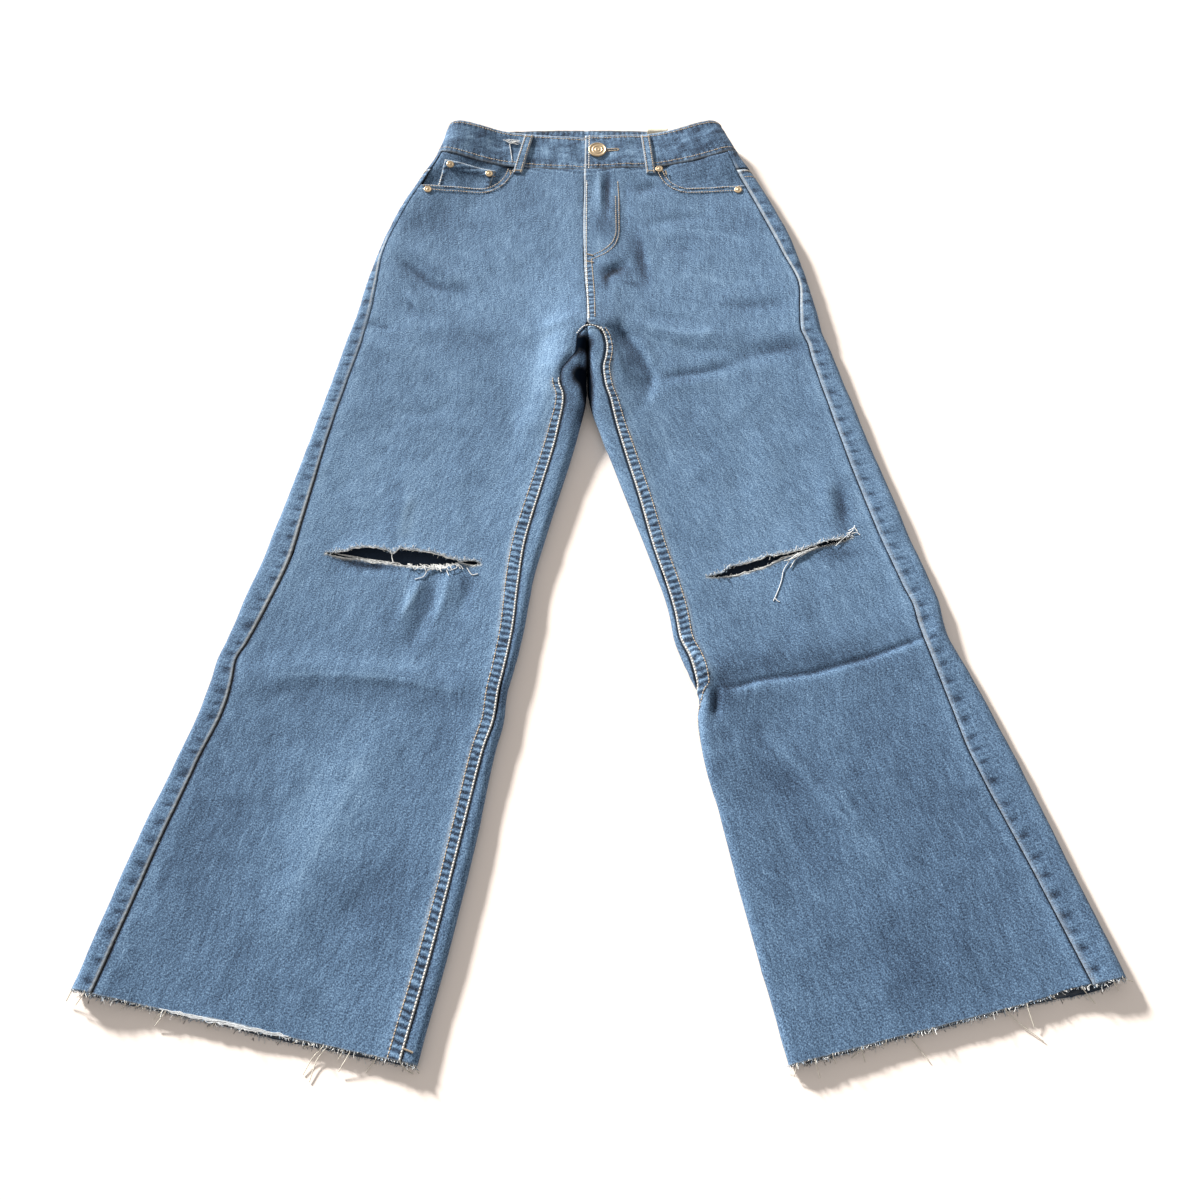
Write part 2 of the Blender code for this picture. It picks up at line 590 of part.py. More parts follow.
def back_pocket(half, look):
    """A flat five-sided patch, between the back panel and the floor."""
    outline = ((45, 168), (178, 152), (186, 262), (118, 306), (47, 282))
    bm = bmesh.new()
    corners = [bm.verts.new((half.sign * x * MM - 16 * MM, (HALF_LENGTH - down) * MM, 0.0))
               for x, down in outline]
    base = bm.faces.new(corners)
    grown = bmesh.ops.extrude_face_region(bm, geom=[base])
    lifted = [item for item in grown["geom"] if isinstance(item, bmesh.types.BMVert)]
    bmesh.ops.translate(bm, verts=lifted, vec=(0.0, 0.0, DENIM * MM))
    bmesh.ops.recalc_face_normals(bm, faces=bm.faces)
    return finish("back_pocket_" + half.name, bm, look)


UNDER_LAYER = DENIM + 0.55      # each layer under a panel lies this much deeper


def pocket_facing(half, look, layers):
    """The panel that shows inside the pocket mouth; it runs on a little way under the front."""
    under_front = 12.0
    rows = []
    columns = 10
    top = WAIST_SEAM + SEAM
    start = half.find(half.mouth.x_inner, half.mouth.down_inner)[1] - under_front
    for part in (0.0, 0.2, 0.39, 0.7, 1.0):
        row = []
        for c in range(columns):
            share = c / (columns - 1)
            end = half.ring(120.0)["width"] - half.value("seam_out", 120.0)
            low = max(mouth_down(half, start + (end - start) * share), 84.0) + under_front
            down = top + (low - top) * part
            first = half.around_front(down, start)
            last = half.outseam(down) - SEAM / 2
            row.append((half, down, first + (last - first) * share))
        rows.append(row)
    return sheet("pocket_facing_" + half.name, look, rows, -layers * UNDER_LAYER, DENIM)


RIVET_PROFILE = ((0, 0), (4.2, 0), (4.2, 0.6), (3.3, 1.2), (1.5, 0.9), (0, 1.5))
RIVETS = (("rivet_mouth_left", -196.5, 106.5, 0), ("rivet_coin_outer", -172.5, 70.5, 1),
          ("rivet_coin_inner", -128.0, 77.5, 1), ("rivet_mouth_right", 158.0, 105.5, 0),
          ("rivet_mouth_right_inner", 68.6, 70.0, 0))
RIVET_REST = 0.45       # a flat rivet needs a little more room over the curved cloth
BUTTON_PROFILE = ((0, 0), (2.2, 0), (2.2, 2.8), (9.4, 2.8), (10.2, 3.4), (10.2, 4.4), (9.4, 5.0),
                  (8.2, 4.5), (5.6, 4.5), (4.6, 5.2), (3.3, 4.6), (0, 4.9))


def build():
    for old in list(bpy.data.objects):
        bpy.data.objects.remove(old)
    denim = material("denim", (0.145, 0.262, 0.448), 0.92)
    brass = material("antique_brass", (0.45, 0.30, 0.14), 0.38, 1.0)
    cotton = material("label_cotton", (0.72, 0.66, 0.52), 0.9)
    tape = material("zip_tape", (0.08, 0.13, 0.22), 0.85)

    for half in (LEFT, RIGHT):
        front_panel(half, denim)
        yoke_and_back(half, denim)
        back_pocket(half, denim)
    pocket_facing(LEFT, denim, 2)
    pocket_facing(RIGHT, denim, 1)
    sheet("coin_pocket", denim, patch(((-179, 64), (-121, 73), (-187, 108), (-131, 108)), 5, 5),
          -UNDER_LAYER, DENIM)

    waistband(denim)
    bowed = (0.25, 1.1, 1.4, 1.4, 0.9, 0.3, -0.4)
    belt_loop("belt_loop_front_left", denim, -83.0, -95.5, 20.0, bowed, front_place)
    belt_loop("belt_loop_front_right", denim, 53.0, 59.0, 20.0, bowed, front_place)
    flat = (0.0, 0.0, 0.0, 0.0, 0.0, 0.0, -0.5)
    belt_loop("belt_loop_back_left", denim, -122.0, -128.0, 5.0, flat, back_place)
    belt_loop("belt_loop_back_centre", denim, -17.0, -17.0, 1.0, flat, back_place)
    belt_loop("belt_loop_back_right", denim, 88.0, 94.0, 5.0, flat, back_place)

    fly_top = 71.5
    fly_low = 214.0
    sheet("fly_shield", denim, patch(((-46, fly_top), (24, fly_top), (-46, fly_low), (24, fly_low)), 8, 6),
          [[-1.6, -1.6, -5.3, -5.3, -5.3, -5.3]] * 8, DENIM)
    sheet("zip_tape", tape, patch(((-10, fly_top), (16, fly_top), (-10, fly_low - 8), (16, fly_low - 8)), 8, 2),
          -UNDER_LAYER, 1.0)
    sheet("zip_slider", brass, patch(((-1, 76), (7, 76), (-1, 90), (7, 90)), 2, 2), -2.95, 2.0)
    sheet("size_label", cotton, patch(((56, 1.8), (80, 2.6), (56, 20.8), (80, 21.6)), 3, 2, back_place),
          -(BAND_THICK - BAND_PROUD + SEAM), 0.6)

    half, down, around = front_place(-3.0, 43.0)
    turned("button", brass, BUTTON_PROFILE, (half, down, around, BAND_PROUD - FLAP_LIFT + SEAM), steps=18)
    for name, x, down_here, layers in RIVETS:
        half, down, around = front_place(x, down_here)
        turned(name, brass, RIVET_PROFILE, (half, down, around, RIVET_REST - layers * UNDER_LAYER), steps=10)


build()
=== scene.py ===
"""The looks of a pair of ripped high-waisted jeans with wide legs, laid flat with the front up."""
import math
from collections import namedtuple

import bmesh
import bpy
import numpy as np
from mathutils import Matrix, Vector


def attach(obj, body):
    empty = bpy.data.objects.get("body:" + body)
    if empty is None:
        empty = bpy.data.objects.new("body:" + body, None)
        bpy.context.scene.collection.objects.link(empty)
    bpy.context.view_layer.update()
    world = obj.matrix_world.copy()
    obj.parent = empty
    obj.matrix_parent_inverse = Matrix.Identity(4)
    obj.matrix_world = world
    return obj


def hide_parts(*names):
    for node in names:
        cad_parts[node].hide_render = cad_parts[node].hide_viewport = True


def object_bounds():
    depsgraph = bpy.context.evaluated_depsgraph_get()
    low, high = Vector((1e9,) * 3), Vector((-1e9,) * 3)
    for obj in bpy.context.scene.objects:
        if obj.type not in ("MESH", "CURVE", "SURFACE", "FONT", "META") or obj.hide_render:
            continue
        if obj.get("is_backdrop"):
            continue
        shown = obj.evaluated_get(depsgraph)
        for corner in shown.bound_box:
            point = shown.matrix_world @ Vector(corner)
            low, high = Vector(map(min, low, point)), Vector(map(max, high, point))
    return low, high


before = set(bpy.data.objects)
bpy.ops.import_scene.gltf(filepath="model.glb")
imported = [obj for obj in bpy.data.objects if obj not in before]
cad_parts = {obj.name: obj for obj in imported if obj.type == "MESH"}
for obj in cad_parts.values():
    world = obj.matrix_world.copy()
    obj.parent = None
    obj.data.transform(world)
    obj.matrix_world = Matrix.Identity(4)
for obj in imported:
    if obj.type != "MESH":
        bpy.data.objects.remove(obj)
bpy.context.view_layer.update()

# ---- The setting ------------------------------------------------------------------------------------
# A pale table top under a soft lamp that stands low behind the waist's left, with white walls around.
# The camera looks down on the garment from beyond its hems.
scene = bpy.context.scene
scene.view_settings.view_transform = "Standard"


def placed(name, data):
    """A new object in the scene with this data."""
    thing = bpy.data.objects.new(name, data)
    scene.collection.objects.link(thing)
    return thing


def step(tree, kind, inputs, **settings):
    """Adds a node with these inputs, each a socket or a plain value; returns its outputs."""
    node = tree.nodes.new(kind)
    for setting, value in settings.items():
        setattr(node, setting, value)
    for socket, value in inputs.items():
        if isinstance(value, bpy.types.NodeSocket):
            tree.links.new(value, node.inputs[socket])
        else:
            node.inputs[socket].default_value = value
    return node.outputs


def maths(tree, operation, *values):
    return step(tree, "ShaderNodeMath", dict(enumerate(values)), operation=operation)[0]


camera_data = bpy.data.cameras.new("camera")
camera_data.lens = 37.5
camera_data.sensor_width = 36
camera = placed("camera", camera_data)
camera.location = (0, -0.635, 1.09)
camera.rotation_euler = (math.radians(26.3), 0, 0)
scene.camera = camera

LAMP_WAY = Vector((41, -45, -22.5))     # the way its light travels
lamp_data = bpy.data.lights.new("low_lamp", "SUN")
lamp_data.energy = 8.4
lamp_data.angle = math.radians(6)
lamp_data.color = (1, 0.985, 0.96)
placed("low_lamp", lamp_data).rotation_euler = LAMP_WAY.to_track_quat("-Z", "Y").to_euler()

world = bpy.data.worlds.new("white_walls")
world.use_nodes = True
scene.world = world
tree = world.node_tree
walls = tree.nodes["Background"]
walls.inputs["Color"].default_value = (1, 0.97, 0.94, 1)
walls.inputs["Strength"].default_value = 0.48
seen = step(tree, "ShaderNodeBackground", {"Color": (1, 1, 1, 1), "Strength": 1})[0]
ray = step(tree, "ShaderNodeLightPath", {})["Is Camera Ray"]
both = step(tree, "ShaderNodeMixShader", {"Fac": ray, 1: walls.outputs[0], 2: seen})[0]
tree.links.new(both, tree.nodes["World Output"].inputs["Surface"])

FLOOR_HALF, FLOOR_HEIGHT = 6.0, -0.0004      # in metres; the cloth lies just above it
floor_mesh = bpy.data.meshes.new("floor")
floor_mesh.from_pydata([(x * FLOOR_HALF, y * FLOOR_HALF, FLOOR_HEIGHT)
                        for x, y in ((-1, -1), (1, -1), (1, 1), (-1, 1))], [], [(0, 1, 2, 3)])
floor_look = bpy.data.materials.new("pale_table")
floor_look.use_nodes = True
tree = floor_look.node_tree
tree.nodes.clear()
matt = step(tree, "ShaderNodeBsdfDiffuse", {"Color": (0.92, 0.82, 0.75, 1)})[0]
ray = step(tree, "ShaderNodeLightPath", {})["Is Camera Ray"]
glow = step(tree, "ShaderNodeEmission", {"Color": (1, 1, 1, 1), "Strength": maths(tree, "MULTIPLY", ray, 0.04)})[0]
both = step(tree, "ShaderNodeAddShader", {0: matt, 1: glow})[0]
step(tree, "ShaderNodeOutputMaterial", {"Surface": both})
floor_mesh.materials.append(floor_look)
floor = placed("floor", floor_mesh)
floor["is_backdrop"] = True

# ---- The two halves' shape and their denim ------------------------------------------------------------
# Each leg and hip is a flattened tube of mid-blue twill, faded by washing.  A place on it is how far down
# the tube's inner line it lies, and how far round the section, front first; both are in millimetres.
MM = 0.001
HALF_LENGTH = 524        # the frame's middle is this far down
FIRST_RING, END_RING = 14, 1058      # a ring for every millimetre, from a little over the waist to past the hem
WAIST_SEAM = 70
CROTCH = 304
HEM = 1048
DENIM = 1.2              # the thickness of one layer
SEAM = 0.3               # the gap between two pieces that meet in a seam
SEAT_RISE = 48           # the back's crotch curve starts this far above the crotch
BACK_RISE = 20           # the back stands this much higher than the front at the waist
FOLD_ROUNDNESS = 0.55    # how far in a fold reaches, as a share of its height
PUFF_REACH = 42          # how far in from a fold the cloth stays raised
TABLE_CLEAR = 0.1        # nothing shown comes nearer to the table than this

Section = namedtuple("Section", "down_in x_in down_out x_out high_in high_mid high_out seam_in seam_out")
LEFT_SECTIONS = [Section(*row) for row in (
    (20, -17, 6, -177.5, 14, 15, 28, 0, 5),
    (70, -17.5, 50, -190, 12.5, 13, 24, 0, 6),
    (100, -18, 90, -210, 12, 12.5, 19, 0, 8),
    (140, -18.5, 135, -230, 12, 12, 17, 0, 8),
    (190, -18, 190, -247, 13, 12, 16, 0, 7),
    (237, -16, 237, -256.5, 17, 12, 15, 0, 12),
    (277, -13.6, 277, -264, 22, 12.5, 14.5, 0, 16),
    (304, -13.6, 304, -270.5, 26, 13.5, 14, 0, 18),
    (320, -13.4, 320, -274, 26, 13, 13.5, 10.4, 19),
    (339, -13.3, 338, -277.5, 25.3, 12.4, 13.2, 12, 18.7),
    (352, -13.3, 350, -280, 24.8, 12, 13, 19.5, 18.5),
    (364, -13.3, 361, -282.4, 23.6, 11.6, 12.9, 26.5, 18.3),
    (376, -13.4, 372, -284.7, 22.3, 11.2, 12.7, 28, 18.2),
    (390, -13.8, 385, -287.3, 21, 10.8, 12.6, 23.6, 18.1),
    (401, -15, 395, -289.4, 19.8, 10.5, 12.5, 22, 18),
    (425, -20, 416, -294, 17.5, 10, 12.2, 21, 18.5),
    (451, -26, 439, -299, 15, 9.5, 12, 20, 19),
    (505, -40, 488, -310, 13, 9, 12, 19.5, 22),
    (557, -54, 535, -320.5, 12, 9, 12, 18, 25),
    (605, -65, 579, -331, 12, 9, 12, 13, 28),
    (655, -72, 625, -344, 12, 9, 11.5, 10, 26),
    (700, -81, 667, -355.5, 13, 9.5, 11.5, 8, 22),
    (722, -86, 686, -361, 13, 10, 11.5, 7, 19),
    (747, -88, 709, -364, 12, 9, 11.5, 8, 21),
    (778, -95, 738, -371, 11.5, 9, 11.5, 10, 23),
    (832, -104, 787, -386, 11, 9, 11, 12, 21),
    (938, -124, 885, -415.5, 11, 9, 11, 13, 21),
    (1048, -149, 988, -442.5, 10.5, 8.2, 14.5, 13, 20),
)]
RIGHT_SECTIONS = [Section(*row) for row in (
    (20, -17, 6, 141.5, 14, 15, 28, 0, 9),
    (70, -17.5, 50, 161, 12.5, 13, 24, 0, 13),
    (100, -18, 90, 182, 12, 12.5, 19, 0, 19),
    (140, -18.5, 135, 201, 12, 12, 17, 0, 20),
    (190, -18, 190, 219, 13, 12, 16, 0, 18),
    (237, -16, 237, 229, 16.5, 12, 15, 0, 11),
    (277, -13.6, 277, 236, 21.5, 12.5, 14.5, 0, 19),
    (304, -13.4, 304, 240, 25.5, 12.5, 14, 0, 23),
    (308, -13.9, 308, 241, 25.3, 12.4, 13.9, 13, 22.7),
    (320, -14.3, 319, 244.5, 24.5, 12, 13.5, 19.4, 22),
    (332, -14.4, 330, 247.4, 23.5, 11.8, 13.2, 20.9, 23.2),
    (345, -14.4, 343, 250.8, 22.4, 11.6, 13, 19.5, 24.6),
    (357, -14.3, 354, 254, 21.4, 11.4, 12.9, 17, 25.2),
    (376, -13.9, 372, 258.5, 20, 11, 12.7, 18.6, 26),
    (399, -10.9, 393, 264.5, 18, 10.5, 12.5, 21.8, 27),
    (433, 0, 422, 271, 15, 9.5, 12, 18, 27),
    (505, 24, 484, 288, 12, 9, 12, 13, 29),
    (574, 47, 545, 304, 12, 9, 12, 6.5, 29),
    (639, 66, 603, 321, 12, 9, 12, 5, 28),
    (666, 70, 628, 327.5, 12.5, 9, 12, 5, 26),
    (686, 77, 646, 329, 13, 9.5, 12.5, 6, 25),
    (705, 84, 662, 331.5, 14, 10, 13, 4, 24),
    (728, 92, 681, 338.5, 14, 9.5, 12.5, -3, 26),
    (747, 90.5, 698, 346, 13, 9, 12, -9, 29),
    (777, 93, 726, 357.5, 12, 9, 11.5, -12, 33),
    (832, 105, 777, 376, 11, 9, 11, -14, 38),
    (938, 128, 878, 410, 11, 9, 11, -15, 34),
    (1048, 154, 978, 442.5, 10.5, 8.2, 12.5, -15, 30),
)]

# The front's creases, each a soft ridge along its points, or a trough where the height is negative.  A
# crease dies away at both ends; left_of and right_of are its widths on either side, walking along it.
Crease = namedtuple("Crease", "points left_of right_of height")
FRONT_CREASES = [Crease(*row) for row in (
    (((-350, 704), (-319, 710), (-265, 700), (-195, 704), (-108, 726)), 20, 13, 1.9),
    (((-236, 712), (-190, 716), (-150, 722), (-112, 730)), 5, 5, -0.7),
    (((106, 716), (125, 716), (149, 707), (199, 700), (254, 684), (316, 661)), 18, 4, -1.5),
    (((110, 716), (125, 716), (149, 707), (199, 700), (254, 684), (316, 661)), 3, 3, -1),
    (((110, 732), (160, 719), (210, 712), (262, 696), (312, 678)), 8, 14, 0.5),
    (((74, 660), (86, 680), (98, 695), (117, 712)), 6, 9, 3.4), (((95, 706), (97, 722), (97, 756)), 7, 7, 2.6),
    (((109, 714), (108, 726), (105, 750)), 5, 6, -3.4), (((322, 634), (326, 652), (318, 672)), 8, 6, 2.6),
    (((14, 288), (31, 314), (45, 340), (54, 361), (52, 378), (44, 400)), 6, 17, -3.2),
    (((34, 306), (54, 334), (66, 356)), 5, 9, 0.9), (((40, 440), (52, 452), (62, 470)), 5, 5, -0.8),
    (((6, 302), (14, 324), (21, 352), (32, 376)), 3, 4, 1.1),
    (((-22, 298), (-36, 318), (-44, 345), (-54, 376), (-62, 410), (-72, 450)), 11, 17, 2.6),
    (((-30, 330), (-37, 346), (-43, 362), (-46, 376)), 4, 6, 1.6),
    (((-15, 286), (-43, 300), (-72, 312)), 7, 10, 1.4),
    (((-222, 180), (-200, 198), (-178, 222), (-142, 246)), 12, 10, 2.6),
    (((-226, 204), (-204, 222), (-186, 240), (-160, 250)), 8, 7, -2),
    (((-216, 250), (-204, 264), (-190, 286)), 8, 4, 1.8), (((-212, 260), (-200, 274), (-190, 290)), 3, 4, -1),
    (((-256, 292), (-236, 298), (-216, 302)), 7, 6, -1.3), (((-258, 318), (-236, 322), (-205, 340)), 9, 9, 1.3),
    (((-150, 296), (-120, 316), (-95, 340)), 12, 12, -1.2),
    (((-197, 494), (-194, 511), (-198, 538), (-200, 572)), 8, 12, 2.3),
    (((-264, 577), (-242, 584), (-217, 589), (-192, 592)), 3, 9, -1.5),
    (((-172, 594), (-180, 620), (-196, 655)), 5, 5, 1.8), (((-160, 592), (-164, 630), (-186, 684)), 9, 9, -2.1),
    (((-146, 592), (-150, 620), (-160, 655)), 6, 7, 1.8), (((-128, 594), (-127, 612), (-136, 646)), 6, 6, -1.8),
    (((-1, 72), (0, 100), (1, 140)), 3.5, 3.5, 1.1), (((8, 70), (8, 96), (8, 118), (10, 146)), 5, 6, -2.2),
    (((13, 90), (14, 130), (13, 170)), 3.5, 4, 0.9), (((30, 80), (29, 140), (24, 190)), 5, 6, -0.9),
    (((5, 240), (12, 222), (34, 206)), 7, 8, -3.2), (((36, 149), (40, 176), (47, 208), (52, 246)), 5, 11, -2.4),
    (((36, 102), (52, 99), (76, 94)), 8, 7, -1.8), (((48, 156), (76, 146), (120, 140)), 6, 7, -1.3),
    (((58, 166), (80, 182), (113, 198)), 8, 7, -1.5), (((133, 338), (175, 330), (232, 316)), 10, 12, -1.8),
    (((130, 272), (170, 268), (225, 260)), 9, 9, -1.1),
    (((56, 366), (84, 361), (112, 356), (150, 343)), 6, 8, -1.7), (((60, 376), (90, 372), (124, 366)), 7, 9, 1),
    (((24, 286), (56, 300), (92, 309), (140, 306)), 7, 9, 1.1),
    (((70, 322), (104, 330), (150, 326)), 6, 6, -0.9), (((36, 268), (66, 284), (104, 290)), 5, 6, -0.8),
    (((-200, 330), (-160, 352), (-128, 384)), 9, 9, 0.9), (((-110, 360), (-92, 400), (-86, 450)), 8, 8, -0.8),
    (((-230, 400), (-190, 410), (-150, 404)), 8, 9, -0.8), (((96, 430), (128, 470), (150, 520)), 10, 10, -0.9),
    (((130, 390), (165, 440), (186, 490)), 10, 10, 0.9), (((240, 490), (242, 520), (244, 548)), 9, 5, -1.6),
    (((226, 478), (229, 510), (233, 548)), 8, 8, 1.4),
    (((150, 760), (185, 800), (222, 850), (250, 900)), 14, 16, 1.1),
    (((118, 770), (145, 810), (170, 870)), 12, 12, -0.9),
    (((-208, 760), (-235, 830), (-262, 900), (-280, 960)), 22, 22, 1.4),
    (((-165, 860), (-195, 905), (-235, 950)), 16, 14, -1.2), (((182, 160), (190, 168), (199, 180)), 4, 5, -0.9),
    (((22, 418), (47, 506), (64, 583)), 10, 14, 1.2), (((170, 600), (196, 648), (206, 690)), 12, 12, 1),
    (((-4, 290), (6, 295), (16, 302), (24, 316)), 2.4, 2.4, 0.8),
    (((-4, 298), (6, 303), (14, 312), (18, 324)), 2.2, 2.2, 0.7),
    (((-6, 282), (6, 286), (18, 292), (28, 304)), 2.6, 2.6, 0.7),
)]
# The back's, where the cloth lies on the table: troughs that lift off it, as sitting leaves them.
BACK_CREASES = [Crease(*row) for row in (
    (((-40, 330), (-90, 318), (-170, 300), (-240, 290)), 12, 9, -2),
    (((20, 336), (80, 322), (150, 312), (215, 300)), 10, 12, -2.2),
    (((-60, 372), (-120, 352), (-190, 345)), 8, 9, -1.4), (((40, 380), (100, 362), (170, 352)), 9, 8, -1.3),
    (((-105, 640), (-180, 652), (-280, 636)), 12, 10, -2.4),
    (((-110, 668), (-190, 684), (-300, 676)), 9, 12, -1.8),
    (((100, 630), (170, 644), (270, 622)), 10, 12, -2.3), (((110, 700), (190, 690), (290, 660)), 10, 10, -2),
    (((-150, 780), (-190, 870), (-230, 980)), 22, 26, -1.2),
    (((180, 800), (230, 890), (280, 990)), 26, 22, -1.3),
)]

# Broad places where the dye has faded further, or less far, than around them, mixed with painted shade and
# painted highlight: the dark slopes of folds by the fly, the crotch and the inner knee, the shadow under the
# left rip's lower lip, and light on the fly's ridges.
Fade = namedtuple("Fade", "x down reach_x reach_down amount")
FADES_AND_SHADES = [Fade(*row) for row in (
    (20, 222, 14, 9, -0.34), (6, 240, 5, 13, -0.30), (44, 195, 5, 26, -0.20), (50, 228, 6, 18, -0.24),
    (50, 99, 24, 7, -0.12), (86, 146, 34, 5, -0.06), (85, 188, 28, 8, -0.10), (-85, 118, 14, 24, -0.12),
    (-180, 150, 40, 26, -0.10), (-190, 222, 26, 12, -0.22), (-165, 243, 24, 8, -0.14), (2, 152, 9, 22, -0.30),
    (-2, 100, 5, 30, 0.22), (8, 98, 5, 30, -0.42), (0, 182, 6, 18, 0.22), (-40, 160, 20, 50, 0.06),
    (-110, 260, 60, 40, 0.04), (-52, 340, 12, 40, 0.12), (-135, 315, 40, 20, -0.10), (-200, 690, 80, 12, 0.08),
    (-225, 718, 110, 11, -0.06), (-150, 732, 40, 9, -0.04), (120, 230, 60, 50, 0.04), (19, 314, 9, 15, -0.12),
    (32, 346, 12, 20, -0.14), (150, 160, 50, 60, -0.05), (88, 368, 30, 5, -0.12), (195, 325, 34, 10, -0.20),
    (180, 268, 46, 8, -0.10), (200, 688, 90, 9, -0.12), (115, 716, 8, 24, -0.30), (-163, 640, 10, 34, -0.06),
    (-186, 628, 5, 26, 0.16), (-128, 606, 9, 12, -0.20), (-228, 586, 34, 6, -0.26), (-206, 530, 7, 38, -0.16),
    (-190, 532, 8, 38, 0.14), (232, 574, 24, 8, -0.30), (243, 525, 7, 26, -0.24), (-250, 830, 38, 70, 0.12),
    (-345, 860, 36, 90, -0.10), (-200, 910, 40, 28, -0.12), (-215, 790, 26, 40, 0.08),
    (160, 805, 30, 22, -0.14), (262, 975, 22, 26, -0.12), (215, 768, 18, 18, 0.10), (-252, 480, 34, 80, 0.08),
    (235, 885, 30, 22, 0.10), (190, 920, 26, 26, 0.08), (300, 960, 120, 110, -0.05),
    (250, 850, 130, 110, -0.10),
)]
# The hollow under the crotch, where no light gets in between the two folded seams: painted shade, with one
# painted highlight on the back strip's rounded end.
HOLLOW_SHADE = [Fade(*row) for row in (
    (-18, 329, 7, 8, -3), (-26, 341, 5, 6, -1), (-14, 311, 10, 6, 0.30), (-20, 368, 7, 9, -3),
    (-14, 382, 5, 12, -2.4), (-12, 402, 4, 15, -2.4), (-31, 398, 7, 40, -0.25), (-12.5, 358, 2.5, 27, -1.6),
    (-17, 418, 5, 12, -0.7),
)]
# Sharp lines along old folds, darker or lighter than beside them, drawn as the creases are: partly dye held
# in the folds, and partly painted shade and painted highlight along the creases, such as the knee folds, the
# crotch trough and the shadow under the left rip's lip.
DYE_AND_SHADE_LINES = [Crease(*row) for row in (
    (((108, 716), (125, 716), (149, 707), (199, 700), (254, 684), (316, 661)), 1.6, 2.6, -0.32),
    (((108, 721), (125, 721), (149, 712), (199, 705), (254, 689), (316, 666)), 3, 3, 0.10),
    (((14, 292), (31, 314), (45, 338), (54, 360), (52, 376), (44, 396)), 2.2, 12, -0.26),
    (((20, 296), (38, 318), (52, 342), (60, 362), (72, 372)), 2, 2.6, 0.12),
    (((6, 246), (6, 232), (14, 220), (30, 213)), 2.6, 3.4, -0.52),
    (((22, 236), (38, 240), (48, 244)), 3, 2.4, -0.34), (((40, 156), (47, 190), (52, 236)), 2, 9, -0.30),
    (((9, 74), (9, 96), (9, 122), (11, 150)), 2.2, 2.2, -0.24),
    (((-226, 204), (-204, 222), (-186, 240), (-160, 250)), 2.4, 1.8, -0.26),
    (((-222, 196), (-200, 214), (-180, 232), (-150, 243)), 2.2, 2.2, 0.16),
    (((-216, 258), (-204, 272), (-190, 292)), 2, 2, -0.22),
    (((-256, 292), (-236, 298), (-216, 302)), 2.4, 2, -0.24),
    (((-160, 594), (-165, 626), (-182, 668)), 3, 6, -0.14),
    (((-172, 594), (-180, 620), (-196, 655)), 2.4, 2.4, 0.18),
    (((-148, 592), (-152, 620), (-162, 655)), 2.4, 2.4, 0.14),
    (((-270, 574), (-250, 581), (-225, 587), (-196, 590)), 3, 3, -0.42),
    (((-320, 706), (-265, 702), (-195, 706), (-120, 724)), 2.6, 2.6, 0.12),
    (((109, 716), (108, 728), (105, 750)), 2.2, 2.8, -0.36),
    (((74, 662), (86, 682), (98, 697), (110, 710)), 2, 2.6, 0.20),
    (((240, 490), (242, 520), (244, 548)), 3.4, 1.8, -0.20),
    (((-196, 494), (-193, 511), (-196, 538), (-198, 572)), 2, 3, 0.10),
    (((-201, 500), (-199, 520), (-203, 545)), 2.4, 2.2, -0.14),
    (((56, 364), (84, 359), (112, 354), (150, 342)), 2.4, 2.6, -0.20),
    (((133, 338), (175, 330), (232, 316)), 2.6, 3, -0.14),
    (((24, 284), (56, 298), (92, 307), (140, 304)), 2.4, 2.6, 0.12),
    (((30, 300), (60, 318), (100, 328)), 2, 2.4, 0.12),
    (((150, 760), (185, 800), (222, 850), (250, 900)), 3, 4, 0.12),
    (((205, 800), (232, 850), (262, 905)), 3, 4, 0.10),
    (((118, 770), (145, 810), (170, 870), (196, 930)), 3, 4, 0.10),
    (((-208, 760), (-235, 830), (-262, 900), (-280, 960)), 4, 5, 0.09),
    (((-165, 800), (-180, 850), (-205, 905)), 4, 4, 0.08),
    (((-52, 300), (-60, 330), (-66, 370), (-80, 430)), 4, 6, 0.10),
    (((60, 168), (92, 160), (134, 166), (170, 182)), 3, 3, 0.10),
    (((64, 178), (96, 172), (130, 178)), 2.4, 3, -0.12),
    (((60, 232), (100, 226), (150, 238), (190, 234)), 3, 4, 0.08),
    (((66, 252), (104, 262), (150, 268), (196, 262)), 3, 4, -0.08),
    (((30, 330), (48, 372), (66, 430), (78, 486)), 3, 5, 0.08),
    (((-196, 150), (-150, 152), (-110, 148)), 3, 5, -0.06),
    (((-170, 186), (-130, 204), (-96, 214)), 3, 5, 0.07), (((-150, 300), (-118, 318), (-92, 342)), 3, 4, -0.08),
    (((-60, 296), (-92, 316), (-128, 324)), 3, 4, 0.08),
)]


def ramp(value, start, end):
    """0 before start and 1 after end, with a soft turn at both."""
    t = np.clip((value - start) / (end - start), 0, 1)
    return t * t * (3 - 2 * t)


def smooth(xs, ys, x):
    """A monotone cubic through the points, so that nothing swings past its neighbours."""
    gap = np.diff(xs)
    slope = np.diff(ys) / gap
    tangent = np.zeros(len(ys))
    same_way = slope[:-1] * slope[1:] > 0
    both = np.where(same_way, slope[:-1] + slope[1:], 1)
    tangent[1:-1] = np.where(same_way, 2 * slope[:-1] * slope[1:] / both, 0)
    tangent[0] = slope[0]
    tangent[-1] = slope[-1]
    i = np.clip(np.searchsorted(xs, x) - 1, 0, len(gap) - 1)
    t = (x - xs[i]) / gap[i]
    rise = ys[i + 1] - ys[i]
    bend = t * (1 - t)
    return (ys[i] + rise * t * t * (3 - 2 * t)
            + bend * (1 - t) * gap[i] * tangent[i] - bend * t * gap[i] * tangent[i + 1])


